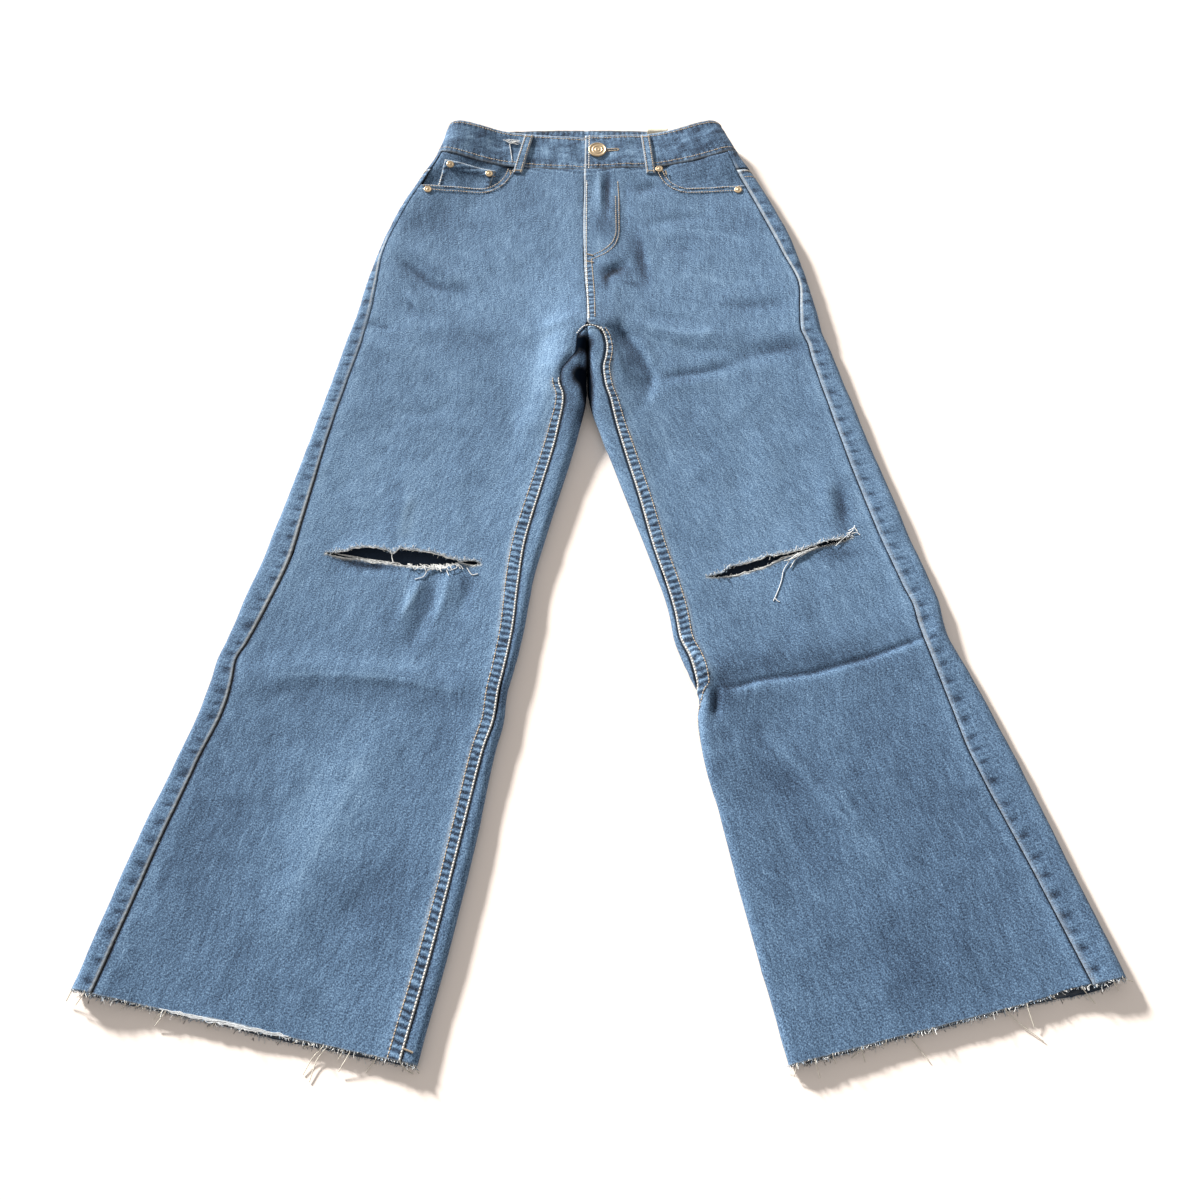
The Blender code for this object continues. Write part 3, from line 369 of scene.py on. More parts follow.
def crease_height(creases, x, down):
    """How much the creases raise or lower the cloth at each place."""
    total = np.zeros(np.shape(x))
    for crease in creases:
        points = np.array(crease.points, float)
        lengths = np.hypot(*np.diff(points, axis=0).T)
        before = np.concatenate([[0], np.cumsum(lengths)])
        nearest = np.full(np.shape(x), 1e9)
        side = np.zeros(np.shape(x))
        along = np.zeros(np.shape(x))
        for i, length in enumerate(lengths):
            run = (points[i + 1] - points[i]) / length
            t = np.clip((x - points[i, 0]) * run[0] + (down - points[i, 1]) * run[1], 0, length)
            away_x = x - points[i, 0] - t * run[0]
            away_down = down - points[i, 1] - t * run[1]
            away = np.hypot(away_x, away_down)
            closer = away < nearest
            nearest = np.where(closer, away, nearest)
            side = np.where(closer, away_x * run[1] - away_down * run[0], side)
            along = np.where(closer, before[i] + t, along)
        width = np.where(side < 0, crease.right_of, crease.left_of)
        end = min(30, before[-1] * 0.4)
        fade = 0.15 + 0.85 * ramp(np.minimum(along, before[-1] - along), 0, end)
        total += crease.height * fade * np.exp(-(nearest / width) ** 2)
    return total


def fade_and_shade(x, down, fades=FADES_AND_SHADES):
    """The sum of the listed fades, painted shades and painted highlights at each place."""
    total = np.zeros(np.shape(x))
    for fade in fades:
        total += fade.amount * np.exp(-((x - fade.x) / fade.reach_x) ** 2
                                      - ((down - fade.down) / fade.reach_down) ** 2)
    return total


def ripple(x, y, size, seed, count=14):
    """Soft uneven waves of about this size, from -1 to 1, with the same result each time."""
    rng = np.random.default_rng(seed)
    total = 0 * (x + y)
    for _ in range(count):
        angle = rng.uniform(0, 2 * math.pi)
        turns = 2 * math.pi / (size * rng.uniform(0.7, 1.8))
        total = total + np.sin((x * math.cos(angle) + y * math.sin(angle)) * turns + rng.uniform(0, 6.283))
    return total / math.sqrt(count) * 0.7


class Half:
    """One side of the garment, from its centre line or inner fold to its outer fold."""

    APART = 3000                                           # keeps the rings apart in one long list
    IN_TOP, SIDE, FLOOR_OUT, FLOOR_IN = 7, 74, 82, 105     # a ring's points where its runs meet

    def __init__(self, name, sign, sections):
        self.name = name
        self.sign = sign
        self.table = {column: np.array([getattr(row, column) for row in sections], float)
                      for column in Section._fields}
        self.table["x_in"] += sign * SEAM / 2
        self.downs = np.arange(FIRST_RING, END_RING)
        self.lines = {column: smooth(self.table["down_in"], self.table[column], self.downs)
                      for column in Section._fields}
        self.lines["width"] = np.abs(self.lines["x_out"] - self.lines["x_in"])
        downs = self.downs[:, None]
        line = {column: values[:, None] for column, values in self.lines.items()}
        low = 2.1 - 0.6 * ramp(downs, 112, 150) - 1.5 * ramp(downs, 320, 372)
        width = line["width"]
        in_top = FOLD_ROUNDNESS * (line["high_in"] - low) * ramp(downs, CROTCH, CROTCH + 60)
        in_low = FOLD_ROUNDNESS * (line["high_in"] - low) * ramp(downs, CROTCH - SEAT_RISE, CROTCH)
        out = np.minimum(14, FOLD_ROUNDNESS * (line["high_out"] - low))
        quarter = np.linspace(0, math.pi / 2, 8)
        half_in = (line["high_in"] - low) / 2
        half_out = (line["high_out"] - low) / 2
        top_u = in_top + (width - out - in_top) * np.linspace(0, 1, 60)
        top_z = (line["high_mid"]
                 + (line["high_in"] - line["high_mid"]) * np.exp(-((top_u - in_top) / PUFF_REACH) ** 2)
                 + (line["high_out"] - line["high_mid"]) * np.exp(-((width - out - top_u) / PUFF_REACH) ** 2))
        turn = np.linspace(math.pi / 2, -math.pi / 2, 17)
        floor_u = width - out + (in_low - width + out) * np.linspace(0, 1, 24)
        u = np.concatenate([in_top * (1 - np.cos(quarter)), top_u[:, 1:],
                            (width - out + out * np.cos(turn))[:, 1:], floor_u[:, 1:],
                            (in_low * (1 - np.cos(quarter[::-1])))[:, 1:]], axis=1)
        z = np.concatenate([low + half_in + half_in * np.sin(quarter), top_z[:, 1:],
                            (low + half_out + half_out * np.sin(turn))[:, 1:], low + 0 * floor_u[:, 1:],
                            (low + half_in - half_in * np.sin(quarter[::-1]))[:, 1:]], axis=1)
        back = np.zeros(u.shape)
        back[:, self.FLOOR_OUT + 1:] = 1
        around = np.zeros(u.shape)
        around[:, 1:] = np.cumsum(np.hypot(np.diff(u), np.diff(z)), axis=1)
        self.u, self.z, self.around = u, z, around
        for line_name, index in (("top_in", self.IN_TOP), ("side", self.SIDE), ("floor_out", self.FLOOR_OUT),
                                 ("floor_in", self.FLOOR_IN), ("end", -1)):
            self.lines[line_name] = around[:, index]
        self.lines["in_top"] = in_top[:, 0]
        self.flat_around = (around + np.arange(len(self.downs))[:, None] * self.APART).ravel()
        self.flat = {"u": u.ravel(), "z": z.ravel(), "back": back.ravel()}
        self.lines["outseam"] = self.from_line(self.lines["width"] - self.lines["seam_out"])
        below = self.from_line(self.lines["seam_in"])
        self.lines["inseam"] = np.where(self.downs <= CROTCH, self.lines["top_in"], below)
        room = (SEAM / 2 + 1 * (1 - ramp(self.downs, CROTCH, CROTCH + 20))
                + 0.55 * np.exp(-((self.downs - 728) / 26) ** 2))
        room = np.where(self.downs < CROTCH, 0, room)
        climb = ramp(self.downs, CROTCH - SEAT_RISE, CROTCH)
        crotch_point = self.lines["end"] + self.lines["top_in"] - DENIM - SEAM
        above = self.lines["floor_in"] + climb * (crotch_point - self.lines["floor_in"])
        self.lines["room"] = room
        self.lines["seat"] = np.where(self.downs > CROTCH,
                                      self.lines["end"] + self.lines["inseam"] - room, above)

    def value(self, name, down):
        """A line's number at these distances down."""
        return np.interp(down, self.downs, self.lines[name])

    def from_line(self, distance):
        """Way round to the front's point at these distances from the inner line, on every ring."""
        result = np.zeros(len(self.downs))
        for r, u in enumerate(distance):
            if u < 0:
                part = slice(self.FLOOR_OUT, None)
                result[r] = np.interp(-u, self.u[r, part][::-1], self.around[r, part][::-1]) - self.around[r, -1]
                continue
            part = slice(0, self.IN_TOP + 1) if u < self.lines["in_top"][r] else slice(self.IN_TOP, self.SIDE + 1)
            result[r] = np.interp(u, self.u[r, part], self.around[r, part])
        return result

    def read(self, name, down, around):
        """A ring's number, "u", "z" or "back", at each place."""
        row = np.clip(down - self.downs[0], 0, len(self.downs) - 1.001)
        low = row.astype(int)
        part = row - low
        total = 0
        for r, weight in ((low, 1 - part), (low + 1, part)):
            end = self.lines["end"][r]
            s = np.where(around < 0, around + end, around)
            s = np.where(s > end + 1e-6, s - end, s)
            total = total + weight * np.interp(s + r * self.APART, self.flat_around, self.flat[name])
        return total

    def drop(self, down, across, back):
        """How far down each place really lies, as the rings slant from the inner line to the outer fold."""
        level = down - back * BACK_RISE * (1 - ramp(down, 90, 236))
        return level + (self.value("down_out", down) - level) * np.abs(across) ** np.where(down < 250, 2, 1)

    def plain(self, down, around):
        """Points of the face without its creases, in millimetres."""
        u = self.read("u", down, around)
        back = self.read("back", down, around)
        y = HALF_LENGTH - self.drop(down, u / self.value("width", down), back)
        return np.stack([self.value("x_in", down) + self.sign * u, y, self.read("z", down, around)], axis=-1), back

    def relief(self, down, around, point, back):
        """How far creases and puffs move the face out."""
        x, here = point[..., 0], HALF_LENGTH - point[..., 1]
        u = self.read("u", down, around)
        edge = ramp(np.minimum(u, self.value("width", down) - u), 2, 16)
        front = crease_height(FRONT_CREASES, x, here) * edge
        front += (0.40 * ripple(x, here, 75, 5) + 0.14 * ripple(x, here, 24, 6)
                  + 0.28 * ripple(x, here * 0.3, 34, 8))
        floor = crease_height(BACK_CREASES, x, here) * edge - 0.25 * (1 + ripple(x, here, 90, 7))
        return front + (floor - front) * back

    def cloth(self, down, around, lift=0):
        """Points of the creased face, and the outward way at each."""
        down, around = np.broadcast_arrays(np.asarray(down, float), np.asarray(around, float))
        reach = 0.8
        point, back = self.plain(down, around)
        way = self.plain(down, around + reach)[0] - self.plain(down, around - reach)[0]
        fall = self.plain(down + reach, around)[0] - self.plain(down - reach, around)[0]
        normal = -self.sign * np.cross(way, fall)
        normal /= np.linalg.norm(normal, axis=-1, keepdims=True)
        height = self.relief(down, around, point, back) + lift
        return point + normal * height[..., None], normal

    def way_in(self, down, u, back=0):
        """Way round to the places this far in from the inner line, on the front or on the floor side."""
        down, u = np.broadcast_arrays(np.asarray(down, float), np.asarray(u, float))
        around = np.zeros(u.shape)
        part = slice(self.FLOOR_OUT, self.FLOOR_IN + 1) if back else slice(self.IN_TOP, self.SIDE + 1)
        turned = -1 if back else 1
        for i in np.ndindex(u.shape):
            r = min(int(round(down[i] - self.downs[0])), len(self.downs) - 1)
            around[i] = np.interp(u[i], self.u[r, part][::turned], self.around[r, part][::turned])
        return around

    def find(self, x, here, back=0):
        """(down, way round) of the places at x, this far down, on the front or on the floor side."""
        down = np.array(here, float)
        for _ in range(30):
            across = np.clip((x - self.value("x_in", down)) * self.sign / self.value("width", down), -0.2, 1.1)
            down = down - 0.8 * (self.drop(down, across, back) - here)
        return down, self.way_in(down, np.maximum((x - self.value("x_in", down)) * self.sign, 0), back)


LEFT = Half("left", -1, LEFT_SECTIONS)
RIGHT = Half("right", 1, RIGHT_SECTIONS)


def columns(start, end, count, edges=(0, 0.7, 1.6, 2.8, 4.4, 6.4, 9, 12)):
    """Ways round from start to end, closer together beside both seams; one row for each start."""
    edges = np.array(edges)
    start, end = np.asarray(start, float)[..., None], np.asarray(end, float)[..., None]
    middle = np.linspace(0, 1, count)[1:-1]
    span = end - start
    return np.concatenate([start + edges, start + edges[-1] + (span - 2 * edges[-1]) * middle,
                           end - edges[::-1]], axis=-1)


def own(spread, half, downs):
    """Each column's way round, at that column's own place down."""
    return np.diagonal(spread(half, downs)).copy()


def laid(x, here, lift=0, back=0):
    """Points and outward ways of the cloth at x, this far down, on whichever half is there."""
    sides = [half.cloth(*half.find(x, here, back), lift) for half in (LEFT, RIGHT)]
    on_left = (x < LEFT.value("x_in", here))[..., None]
    return tuple(np.where(on_left, left, right) for left, right in zip(*sides))


def ruled(corners, rows, cols):
    """(x, down) on a grid between four corners: top left, top right, low left, low right."""
    corners = np.array(corners, float)
    across = np.linspace(0, 1, cols)[None, :, None]
    fall = np.linspace(0, 1, rows)[:, None, None]
    top = corners[0] + (corners[1] - corners[0]) * across
    low = corners[2] + (corners[3] - corners[2]) * across
    return np.moveaxis(top + (low - top) * fall, -1, 0)


def near(value, place, reach):
    """1 at the place, and less with distance from it."""
    return np.exp(-((value - place) / reach) ** 2)


def shell(name, outer, normal, thick, cloth_map, marks, look, keep=None):
    """A wall of cloth on a grid of points in millimetres.  cloth_map holds each point's place on the flat
    cloth, and marks its other numbers, by name; "inside" marks the wall's inner skin."""
    rows, cols = outer.shape[:2]
    count = rows * cols
    outer = np.maximum(outer, (-math.inf, -math.inf, TABLE_CLEAR))
    inner = outer - normal * np.broadcast_to(np.asarray(thick, float), (rows, cols))[..., None]
    corners = np.concatenate([outer.reshape(count, 3), inner.reshape(count, 3)]) * MM
    index = np.arange(count).reshape(rows, cols)
    quads = np.stack([index[:-1, :-1], index[:-1, 1:], index[1:, 1:], index[1:, :-1]], axis=-1)
    there = np.ones((rows - 1, cols - 1), bool) if keep is None else keep
    quads = quads[there]
    r, c = rows // 2, cols // 2
    if np.dot(np.cross(outer[r, c + 1] - outer[r, c], outer[r + 1, c] - outer[r, c]), normal[r, c]) < 0:
        quads = quads[:, ::-1]
    edges = np.concatenate([quads[:, [i, (i + 1) % 4]] for i in range(4)])
    code = edges[:, 0] * count + edges[:, 1]
    back_code = edges[:, 1] * count + edges[:, 0]
    rims = edges[~np.isin(code, back_code)]
    rims = np.stack([rims[:, 1], rims[:, 0], rims[:, 0] + count, rims[:, 1] + count], axis=-1)
    faces = np.concatenate([quads, quads[:, ::-1] + count, rims])
    used = np.unique(faces)
    new = np.zeros(2 * count, int)
    new[used] = np.arange(len(used))
    mesh = bpy.data.meshes.new(name)
    mesh.from_pydata(corners[used].tolist(), [], new[faces].tolist())
    layer = mesh.uv_layers.new(name="cloth")
    flat = np.concatenate([cloth_map.reshape(count, 2)] * 2)[used] * MM
    loops = np.zeros(len(mesh.loops), np.int32)
    mesh.loops.foreach_get("vertex_index", loops)
    layer.data.foreach_set("uv", flat[loops].ravel().astype(np.float32))
    for mark, values in {"tone": 0, "pucker": 0, "worn": 0, "inside": None, **marks}.items():
        if values is None:
            numbers = np.concatenate([np.zeros(count), np.ones(count)])
        else:
            numbers = np.concatenate([np.broadcast_to(values, (rows, cols)).ravel()] * 2)
        attribute = mesh.attributes.new(mark, "FLOAT", "POINT")
        attribute.data.foreach_set("value", numbers[used].astype(np.float32))
    mesh.materials.append(look)
    mesh.shade_smooth()
    return placed(name, mesh)


def group_of(kind, name, inputs, outputs):
    """An empty node group with these sockets; returns it with the sockets inside it."""
    tree = bpy.data.node_groups.new(name, kind + "NodeTree")
    for in_out, sockets in (("INPUT", inputs), ("OUTPUT", outputs)):
        for label, socket in sockets.items():
            tree.interface.new_socket(label, in_out=in_out, socket_type="NodeSocket" + socket)
    return tree, tree.nodes.new("NodeGroupInput").outputs, tree.nodes.new("NodeGroupOutput").inputs


def stretched(tree, vector, scale):
    return step(tree, "ShaderNodeVectorMath", {0: vector, 1: scale}, operation="MULTIPLY")[0]


def noise(tree, vector, scale, detail=2, roughness=0.5):
    return step(tree, "ShaderNodeTexNoise", {"Vector": vector, "Scale": scale, "Detail": detail,
                                             "Roughness": roughness})["Fac"]


def between(tree, factor, *colours):
    """A colour mixed from two colours, each a socket or three numbers."""
    first, second = ((*colour, 1) if isinstance(colour, tuple) else colour for colour in colours)
    return step(tree, "ShaderNodeMix", {0: factor, 6: first, 7: second}, data_type="RGBA")[2]


# Indigo warp over white weft: a steep twill with slubs along the warp, uneven fading, and roped puckers
# beside the seams, where the high spots have lost their dye.
yarns, given, out = group_of("Shader", "denim_yarns", {"Cloth": "Vector", "Tone": "Float", "Pucker": "Float",
                                                       "Worn": "Float", "Inside": "Float"},
                             {"Color": "Color", "Height": "Float", "Shine": "Float"})
cloth_mm = stretched(yarns, given["Cloth"], (1000, 1000, 0))
weft_way, warp_way, _ = step(yarns, "ShaderNodeSeparateXYZ", {0: cloth_mm})


def times(first, second):
    return maths(yarns, "MULTIPLY", first, second)


def summed(first, *others):
    for other in others:
        first = maths(yarns, "ADD", first, other)
    return first


def mixed(across, down):
    """The cloth's two directions, mixed in these amounts."""
    return summed(times(weft_way, across), times(warp_way, down))


def swing(value, amount):
    """A noise's swing about its middle, times this amount."""
    return times(maths(yarns, "SUBTRACT", value, 0.5), amount)


def grain(along, scale, detail, roughness=0.6):
    """Noise whose spots are longer along the warp, the smaller along is."""
    return noise(yarns, stretched(yarns, cloth_mm, (1, along, 1)), scale, detail, roughness)


slanted = step(yarns, "ShaderNodeCombineXYZ", {0: mixed(0.80, -0.60), 1: mixed(0.07, 0.09)})[0]
speckle = grain(0.85, 0.80, 3, 0.70)
slub = grain(0.10, 0.42, 2)
streak = noise(yarns, slanted, 0.50, 2, 0.60)
cloud = grain(0.35, 0.024, 3)
blotch = noise(yarns, cloth_mm, 0.085, 2, 0.6)
crumple = maths(yarns, "ABSOLUTE", swing(grain(0.45, 0.060, 3), 2))
twill = maths(yarns, "SINE", mixed(6.8, -5.1))
rope = maths(yarns, "SINE", summed(mixed(0.16, 1), times(blotch, 7)))
level = summed(swing(speckle, 4.8), swing(slub, 1.1), swing(streak, 1), swing(cloud, 0.6), times(twill, 0.10),
              times(maths(yarns, "SUBTRACT", 0.22, crumple), 0.35),
              times(summed(times(rope, 0.75), swing(blotch, 2)), given["Pucker"]), times(given["Tone"], 2))
# The tone mark, which carries dye fades as well as painted shade and highlight, shifts the level; the ramp's
# lowest, near-black stops serve the painted shade of the crotch hollow and the seam lines.
DYE = ((0, (0.002, 0.004, 0.008)), (0.20, (0.009, 0.016, 0.030)), (0.375, (0.020, 0.037, 0.070)),
       (0.5625, (0.057, 0.103, 0.176)), (0.6875, (0.100, 0.175, 0.284)), (0.8375, (0.166, 0.275, 0.415)),
       (1, (0.300, 0.440, 0.600)))
DYE_SPAN, DYE_MIDDLE = 0.3125, 0.6875      # how the level above falls on the dye's range
dye = yarns.nodes.new("ShaderNodeValToRGB")
yarns.links.new(summed(times(level, DYE_SPAN), DYE_MIDDLE), dye.inputs["Fac"])
stops = dye.color_ramp.elements
for position, _ in DYE[1:-1]:
    stops.new(position)
for stop, (_, colour) in zip(stops, DYE):
    stop.color = (*colour, 1)
# The inner skin is painted a near-black navy: painted shade for the inside of the legs, seen through the rips and
# the hem openings.
shaded_inner_skin = between(yarns, speckle, (0.007, 0.014, 0.030), (0.034, 0.056, 0.096))
skin = between(yarns, given["Inside"], dye.outputs["Color"], shaded_inner_skin)
yarns.links.new(between(yarns, times(given["Worn"], 0.85), skin, (0.58, 0.60, 0.59)), out["Color"])
height = summed(times(speckle, 0.35), times(twill, 0.05), times(times(rope, given["Pucker"]), 0.5))
yarns.links.new(maths(yarns, "SUBTRACT", height, times(crumple, 1.3)), out["Height"])
# Where no light gets in, the cloth has no shine either.
yarns.links.new(step(yarns, "ShaderNodeMapRange", {"Value": given["Tone"], "From Min": -1.6, "From Max": -0.5})[0],
                out["Shine"])


def principled(name, roughness):
    """A new material; returns it with its tree and its shader's inputs."""
    look = bpy.data.materials.new(name)
    look.use_nodes = True
    shader = look.node_tree.nodes["Principled BSDF"].inputs
    shader["Roughness"].default_value = roughness
    return look, look.node_tree, shader


def speckled(name, roughness, scale, dark, light, detail=2, uneven=0.5):
    """A material whose colour wanders between two, with spots this fine along each axis."""
    look, tree, shader = principled(name, roughness)
    place = step(tree, "ShaderNodeTexCoord", {})["Object"]
    spots = noise(tree, stretched(tree, place, scale), 1, detail, uneven)
    tree.links.new(between(tree, spots, dark, light), shader["Base Color"])
    return look, tree, shader, spots


# Denim reads its shell's cloth map and its tone, pucker, worn and inside marks.
panel_denim, tree, shader = principled("faded_panel_denim", 0.93)
shader["Sheen Roughness"].default_value = 0.6
made = tree.nodes.new("ShaderNodeGroup")
made.node_tree = yarns
tree.links.new(step(tree, "ShaderNodeUVMap", {}, uv_map="cloth")["UV"], made.inputs["Cloth"])
for mark in ("tone", "pucker", "worn", "inside"):
    reader = step(tree, "ShaderNodeAttribute", {}, attribute_name=mark)
    tree.links.new(reader["Fac"], made.inputs[mark.capitalize()])
bumped = step(tree, "ShaderNodeBump", {"Strength": 0.55, "Distance": 0.0006, "Height": made.outputs["Height"]})[0]
tree.links.new(bumped, shader["Normal"])
tree.links.new(made.outputs["Color"], shader["Base Color"])
for name, most in (("Specular IOR Level", 0.18), ("Sheen Weight", 0.06)):
    tree.links.new(maths(tree, "MULTIPLY", made.outputs["Shine"], most), shader[name])

# ---- The front panels -------------------------------------------------------------------------------
# Two panels cut from the waist seam to the raw hem, scooped at the pocket mouths and torn right across
# each knee.  Each is felled to its back panel at the inseam and plainly seamed at the side.
Mouth = namedtuple("Mouth", "x_inner down_inner width depth")
MOUTHS = {"left": Mouth(-107, 61, 30, 38), "right": Mouth(73, 61, 30, 38)}
# Each rip's upper and lower lip, as (x, down) points from tip to tip.
Rip = namedtuple("Rip", "upper lower")
RIPS = {
    "left": Rip(((-271, 573), (-249, 572), (-243, 569), (-232, 567), (-215, 569), (-207, 572), (-203, 576),
                 (-200, 572), (-197, 569), (-182, 571), (-165, 573), (-146, 580), (-137, 583), (-128, 582),
                 (-121, 583), (-116, 586)),
                ((-271, 574), (-255, 578), (-245, 579), (-224, 582), (-204, 585), (-185, 588), (-164, 589),
                 (-149, 587), (-141, 584), (-136, 584), (-128, 587), (-122, 588), (-116, 587))),
    "right": Rip(((104, 600), (119, 596), (126, 589), (142, 585), (165, 577), (181, 574), (192, 572), (212, 565),
                  (228, 559), (240, 556), (252, 554)),
                 ((104, 601), (117, 600), (130, 598), (148, 593), (166, 586), (180, 579), (190, 575), (206, 570),
                  (222, 565), (240, 560), (252, 555))),
}
RIP_BLEND = 40           # the rows above and below a rip follow its lips over this distance
RIP_LIFT = {"left": 2.6, "right": 1.2}      # how high the upper lip of each stands
LEVEL_ROWS = 118         # the rows of the front run level from here, below the pocket mouth
ROW = 3.1                # from one row to the next
FINE_ROW = 1.6           # the rows lie closer together across the folds below the knees
KNEE_FOLDS = (655, 730)
MOUTH_END = 99           # the mouth runs level out to the side at this distance down
LENS_X = -309            # the middle of the lens of bare weft on the left hem
NICK_IN = 14             # the right hem's nick, this far in from the side seam


def mouth_down(half, down, around):
    """Where the front panel starts: at the waist seam, or along the scooped pocket mouth."""
    mouth = MOUTHS[half.name]
    start_down = half.find(np.array([mouth.x_inner], float), np.array([mouth.down_inner], float))[0]
    start_u = abs(mouth.x_inner - half.value("x_in", start_down[0]))
    u = half.read("u", down, around)
    x = half.value("x_in", start_down[0]) + half.sign * u
    q = np.clip((u - start_u) / mouth.width, 0, 1)
    scoop = mouth.down_inner + mouth.depth * np.sqrt(1 - (1 - q) ** 2)
    found = half.find(x, scoop)[0]
    return np.where(u <= start_u + 0.5, WAIST_SEAM + SEAM / 2, found)


def from_mouth(half, x, here):
    """Distance from the pocket mouth's edge, into the front panel."""
    mouth = MOUTHS[half.name]
    centre = mouth.x_inner + half.sign * mouth.width
    side = np.minimum((x - centre) * half.sign, 0) / mouth.width
    fall = np.maximum(here - mouth.down_inner, 0) / mouth.depth
    return np.where(side < 0, (np.hypot(side, fall) - 1) * 34, here - MOUTH_END)


def felled(down):
    """The felled band's width, pressed wider round the knees."""
    return np.interp(down, (320, 380, 450, 600, 750, 900, 1040), (7.5, 9, 12.5, 14.5, 12.8, 11.5, 13))


def front_spread(half, down):
    """Ways round from the inseam to the side seam; one row for each place down."""
    return columns(half.value("inseam", down) + half.value("room", down),
                   half.value("outseam", down) - SEAM / 2, 86)


def front_marks(half, downs, arounds):
    """The front's lift over its plain face, and its dye, painted shade and highlight, puckers and wear."""
    place = half.plain(downs, arounds)[0]
    x, here = place[..., 0], HALF_LENGTH - place[..., 1]
    from_in = arounds - half.value("inseam", downs) - half.value("room", downs)
    from_out = half.value("outseam", downs) - arounds
    mouth = from_mouth(half, x, here)
    hip = (1 - ramp(downs, 90, 130))
    below = ramp(downs, 366, 382) if half is LEFT else ramp(downs, CROTCH - 4, CROTCH + 4)
    width = felled(downs)
    band = below * ramp(from_in, 0, 1.2) * (1 - ramp(from_in, width - 1.5, width + 0.5))
    binding = hip * ramp(mouth, 0.3, 1.5) * (1 - ramp(mouth, 7.5, 9.5))
    over = (1 - below) * (half is RIGHT)
    under = (1 - below) * (half is LEFT)
    fly = over * (1 - ramp(from_in, 6.5, 8)) * (0.35 + 0.65 * ramp(here, 190, 215))
    waves = np.sin(arounds * 0.22 + downs * 0.62 + 1.5 * ripple(arounds, downs, 30, 21))
    lift = (0.45 * band * (1 + 0.5 * waves) + 0.3 * binding * (1 + 0.8 * waves) + 0.3 * fly * (1 + 0.7 * waves)
            - 0.5 * near(from_out, 0, 1.3) - below * 0.35 * near(from_in, 0, 0.9)
            - under * 0.75 * (1 - ramp(from_in, 0, 9)) + over * 0.35 * (1 - ramp(from_in, 30, 38))
            + 1.2 * over * (1 - ramp(from_in, 40, 66)) * (1 - ramp(downs, 73, 100)))
    from_hem = HEM - downs
    # groove_shade darkens the side seam's groove, and the tone below darkens the inseam, the fly's edge and a line
    # just under the waist seam: painted shade in the seam grooves and under the band's edge.
    groove_shade = 0.95 - 0.6 * (half is LEFT) * (1 - ramp(downs, 300, 560))
    tone = (fade_and_shade(x, here) + crease_height(DYE_AND_SHADE_LINES, x, here)
            # The creases darken the tone in their troughs and lighten it on their ridges: painted shade and
            # highlight.
            + 0.02 * np.clip(crease_height(FRONT_CREASES, x, here), -3, 2)
            - 0.55 * below * near(from_in, 0, 0.8) - groove_shade * near(from_out, 0, 1.3)
            - 0.55 * under * near(from_in, 0, 1.3) + 0.10 * near(from_in, 16, 6) * below
            # The tone turns darker below the knees, front and back: partly painted shade, a fall of light towards
            # the hems, and partly dye less faded than on the thighs.
            - 0.10 * ramp(downs, 570, 720) + 0.10 * near(from_out, 6, 4)
            - 0.20 * hip * near(mouth, 10.5, 1.8) - 0.30 * near(downs, 70.5, 1.5)
            - 0.14 * band - 0.08 * binding - 0.08 * fly)
    frayed = (half is LEFT) * near(x, LENS_X, 44)
    marks = {
        "tone": tone,
        "pucker": np.maximum(0.95 * np.maximum(np.maximum(band, binding), fly), 0.5 - 0.5 * ramp(downs, 71, 80)),
        "worn": (0.7 * near(from_hem, 0, 0.6)
                 + 0.75 * frayed * (1 - ramp(from_hem, 1.6 * frayed, 2.6 * frayed + 0.1))
                 + 0.75 * over * near(from_in, 0.5, 0.7)
                 + 0.55 * hip * near(mouth, 0.4, 0.7) + 0.25 * below * near(from_in, width, 0.8)
                 + 0.75 * below * near(from_in, 1.1, 0.8)),
    }
    return lift, marks


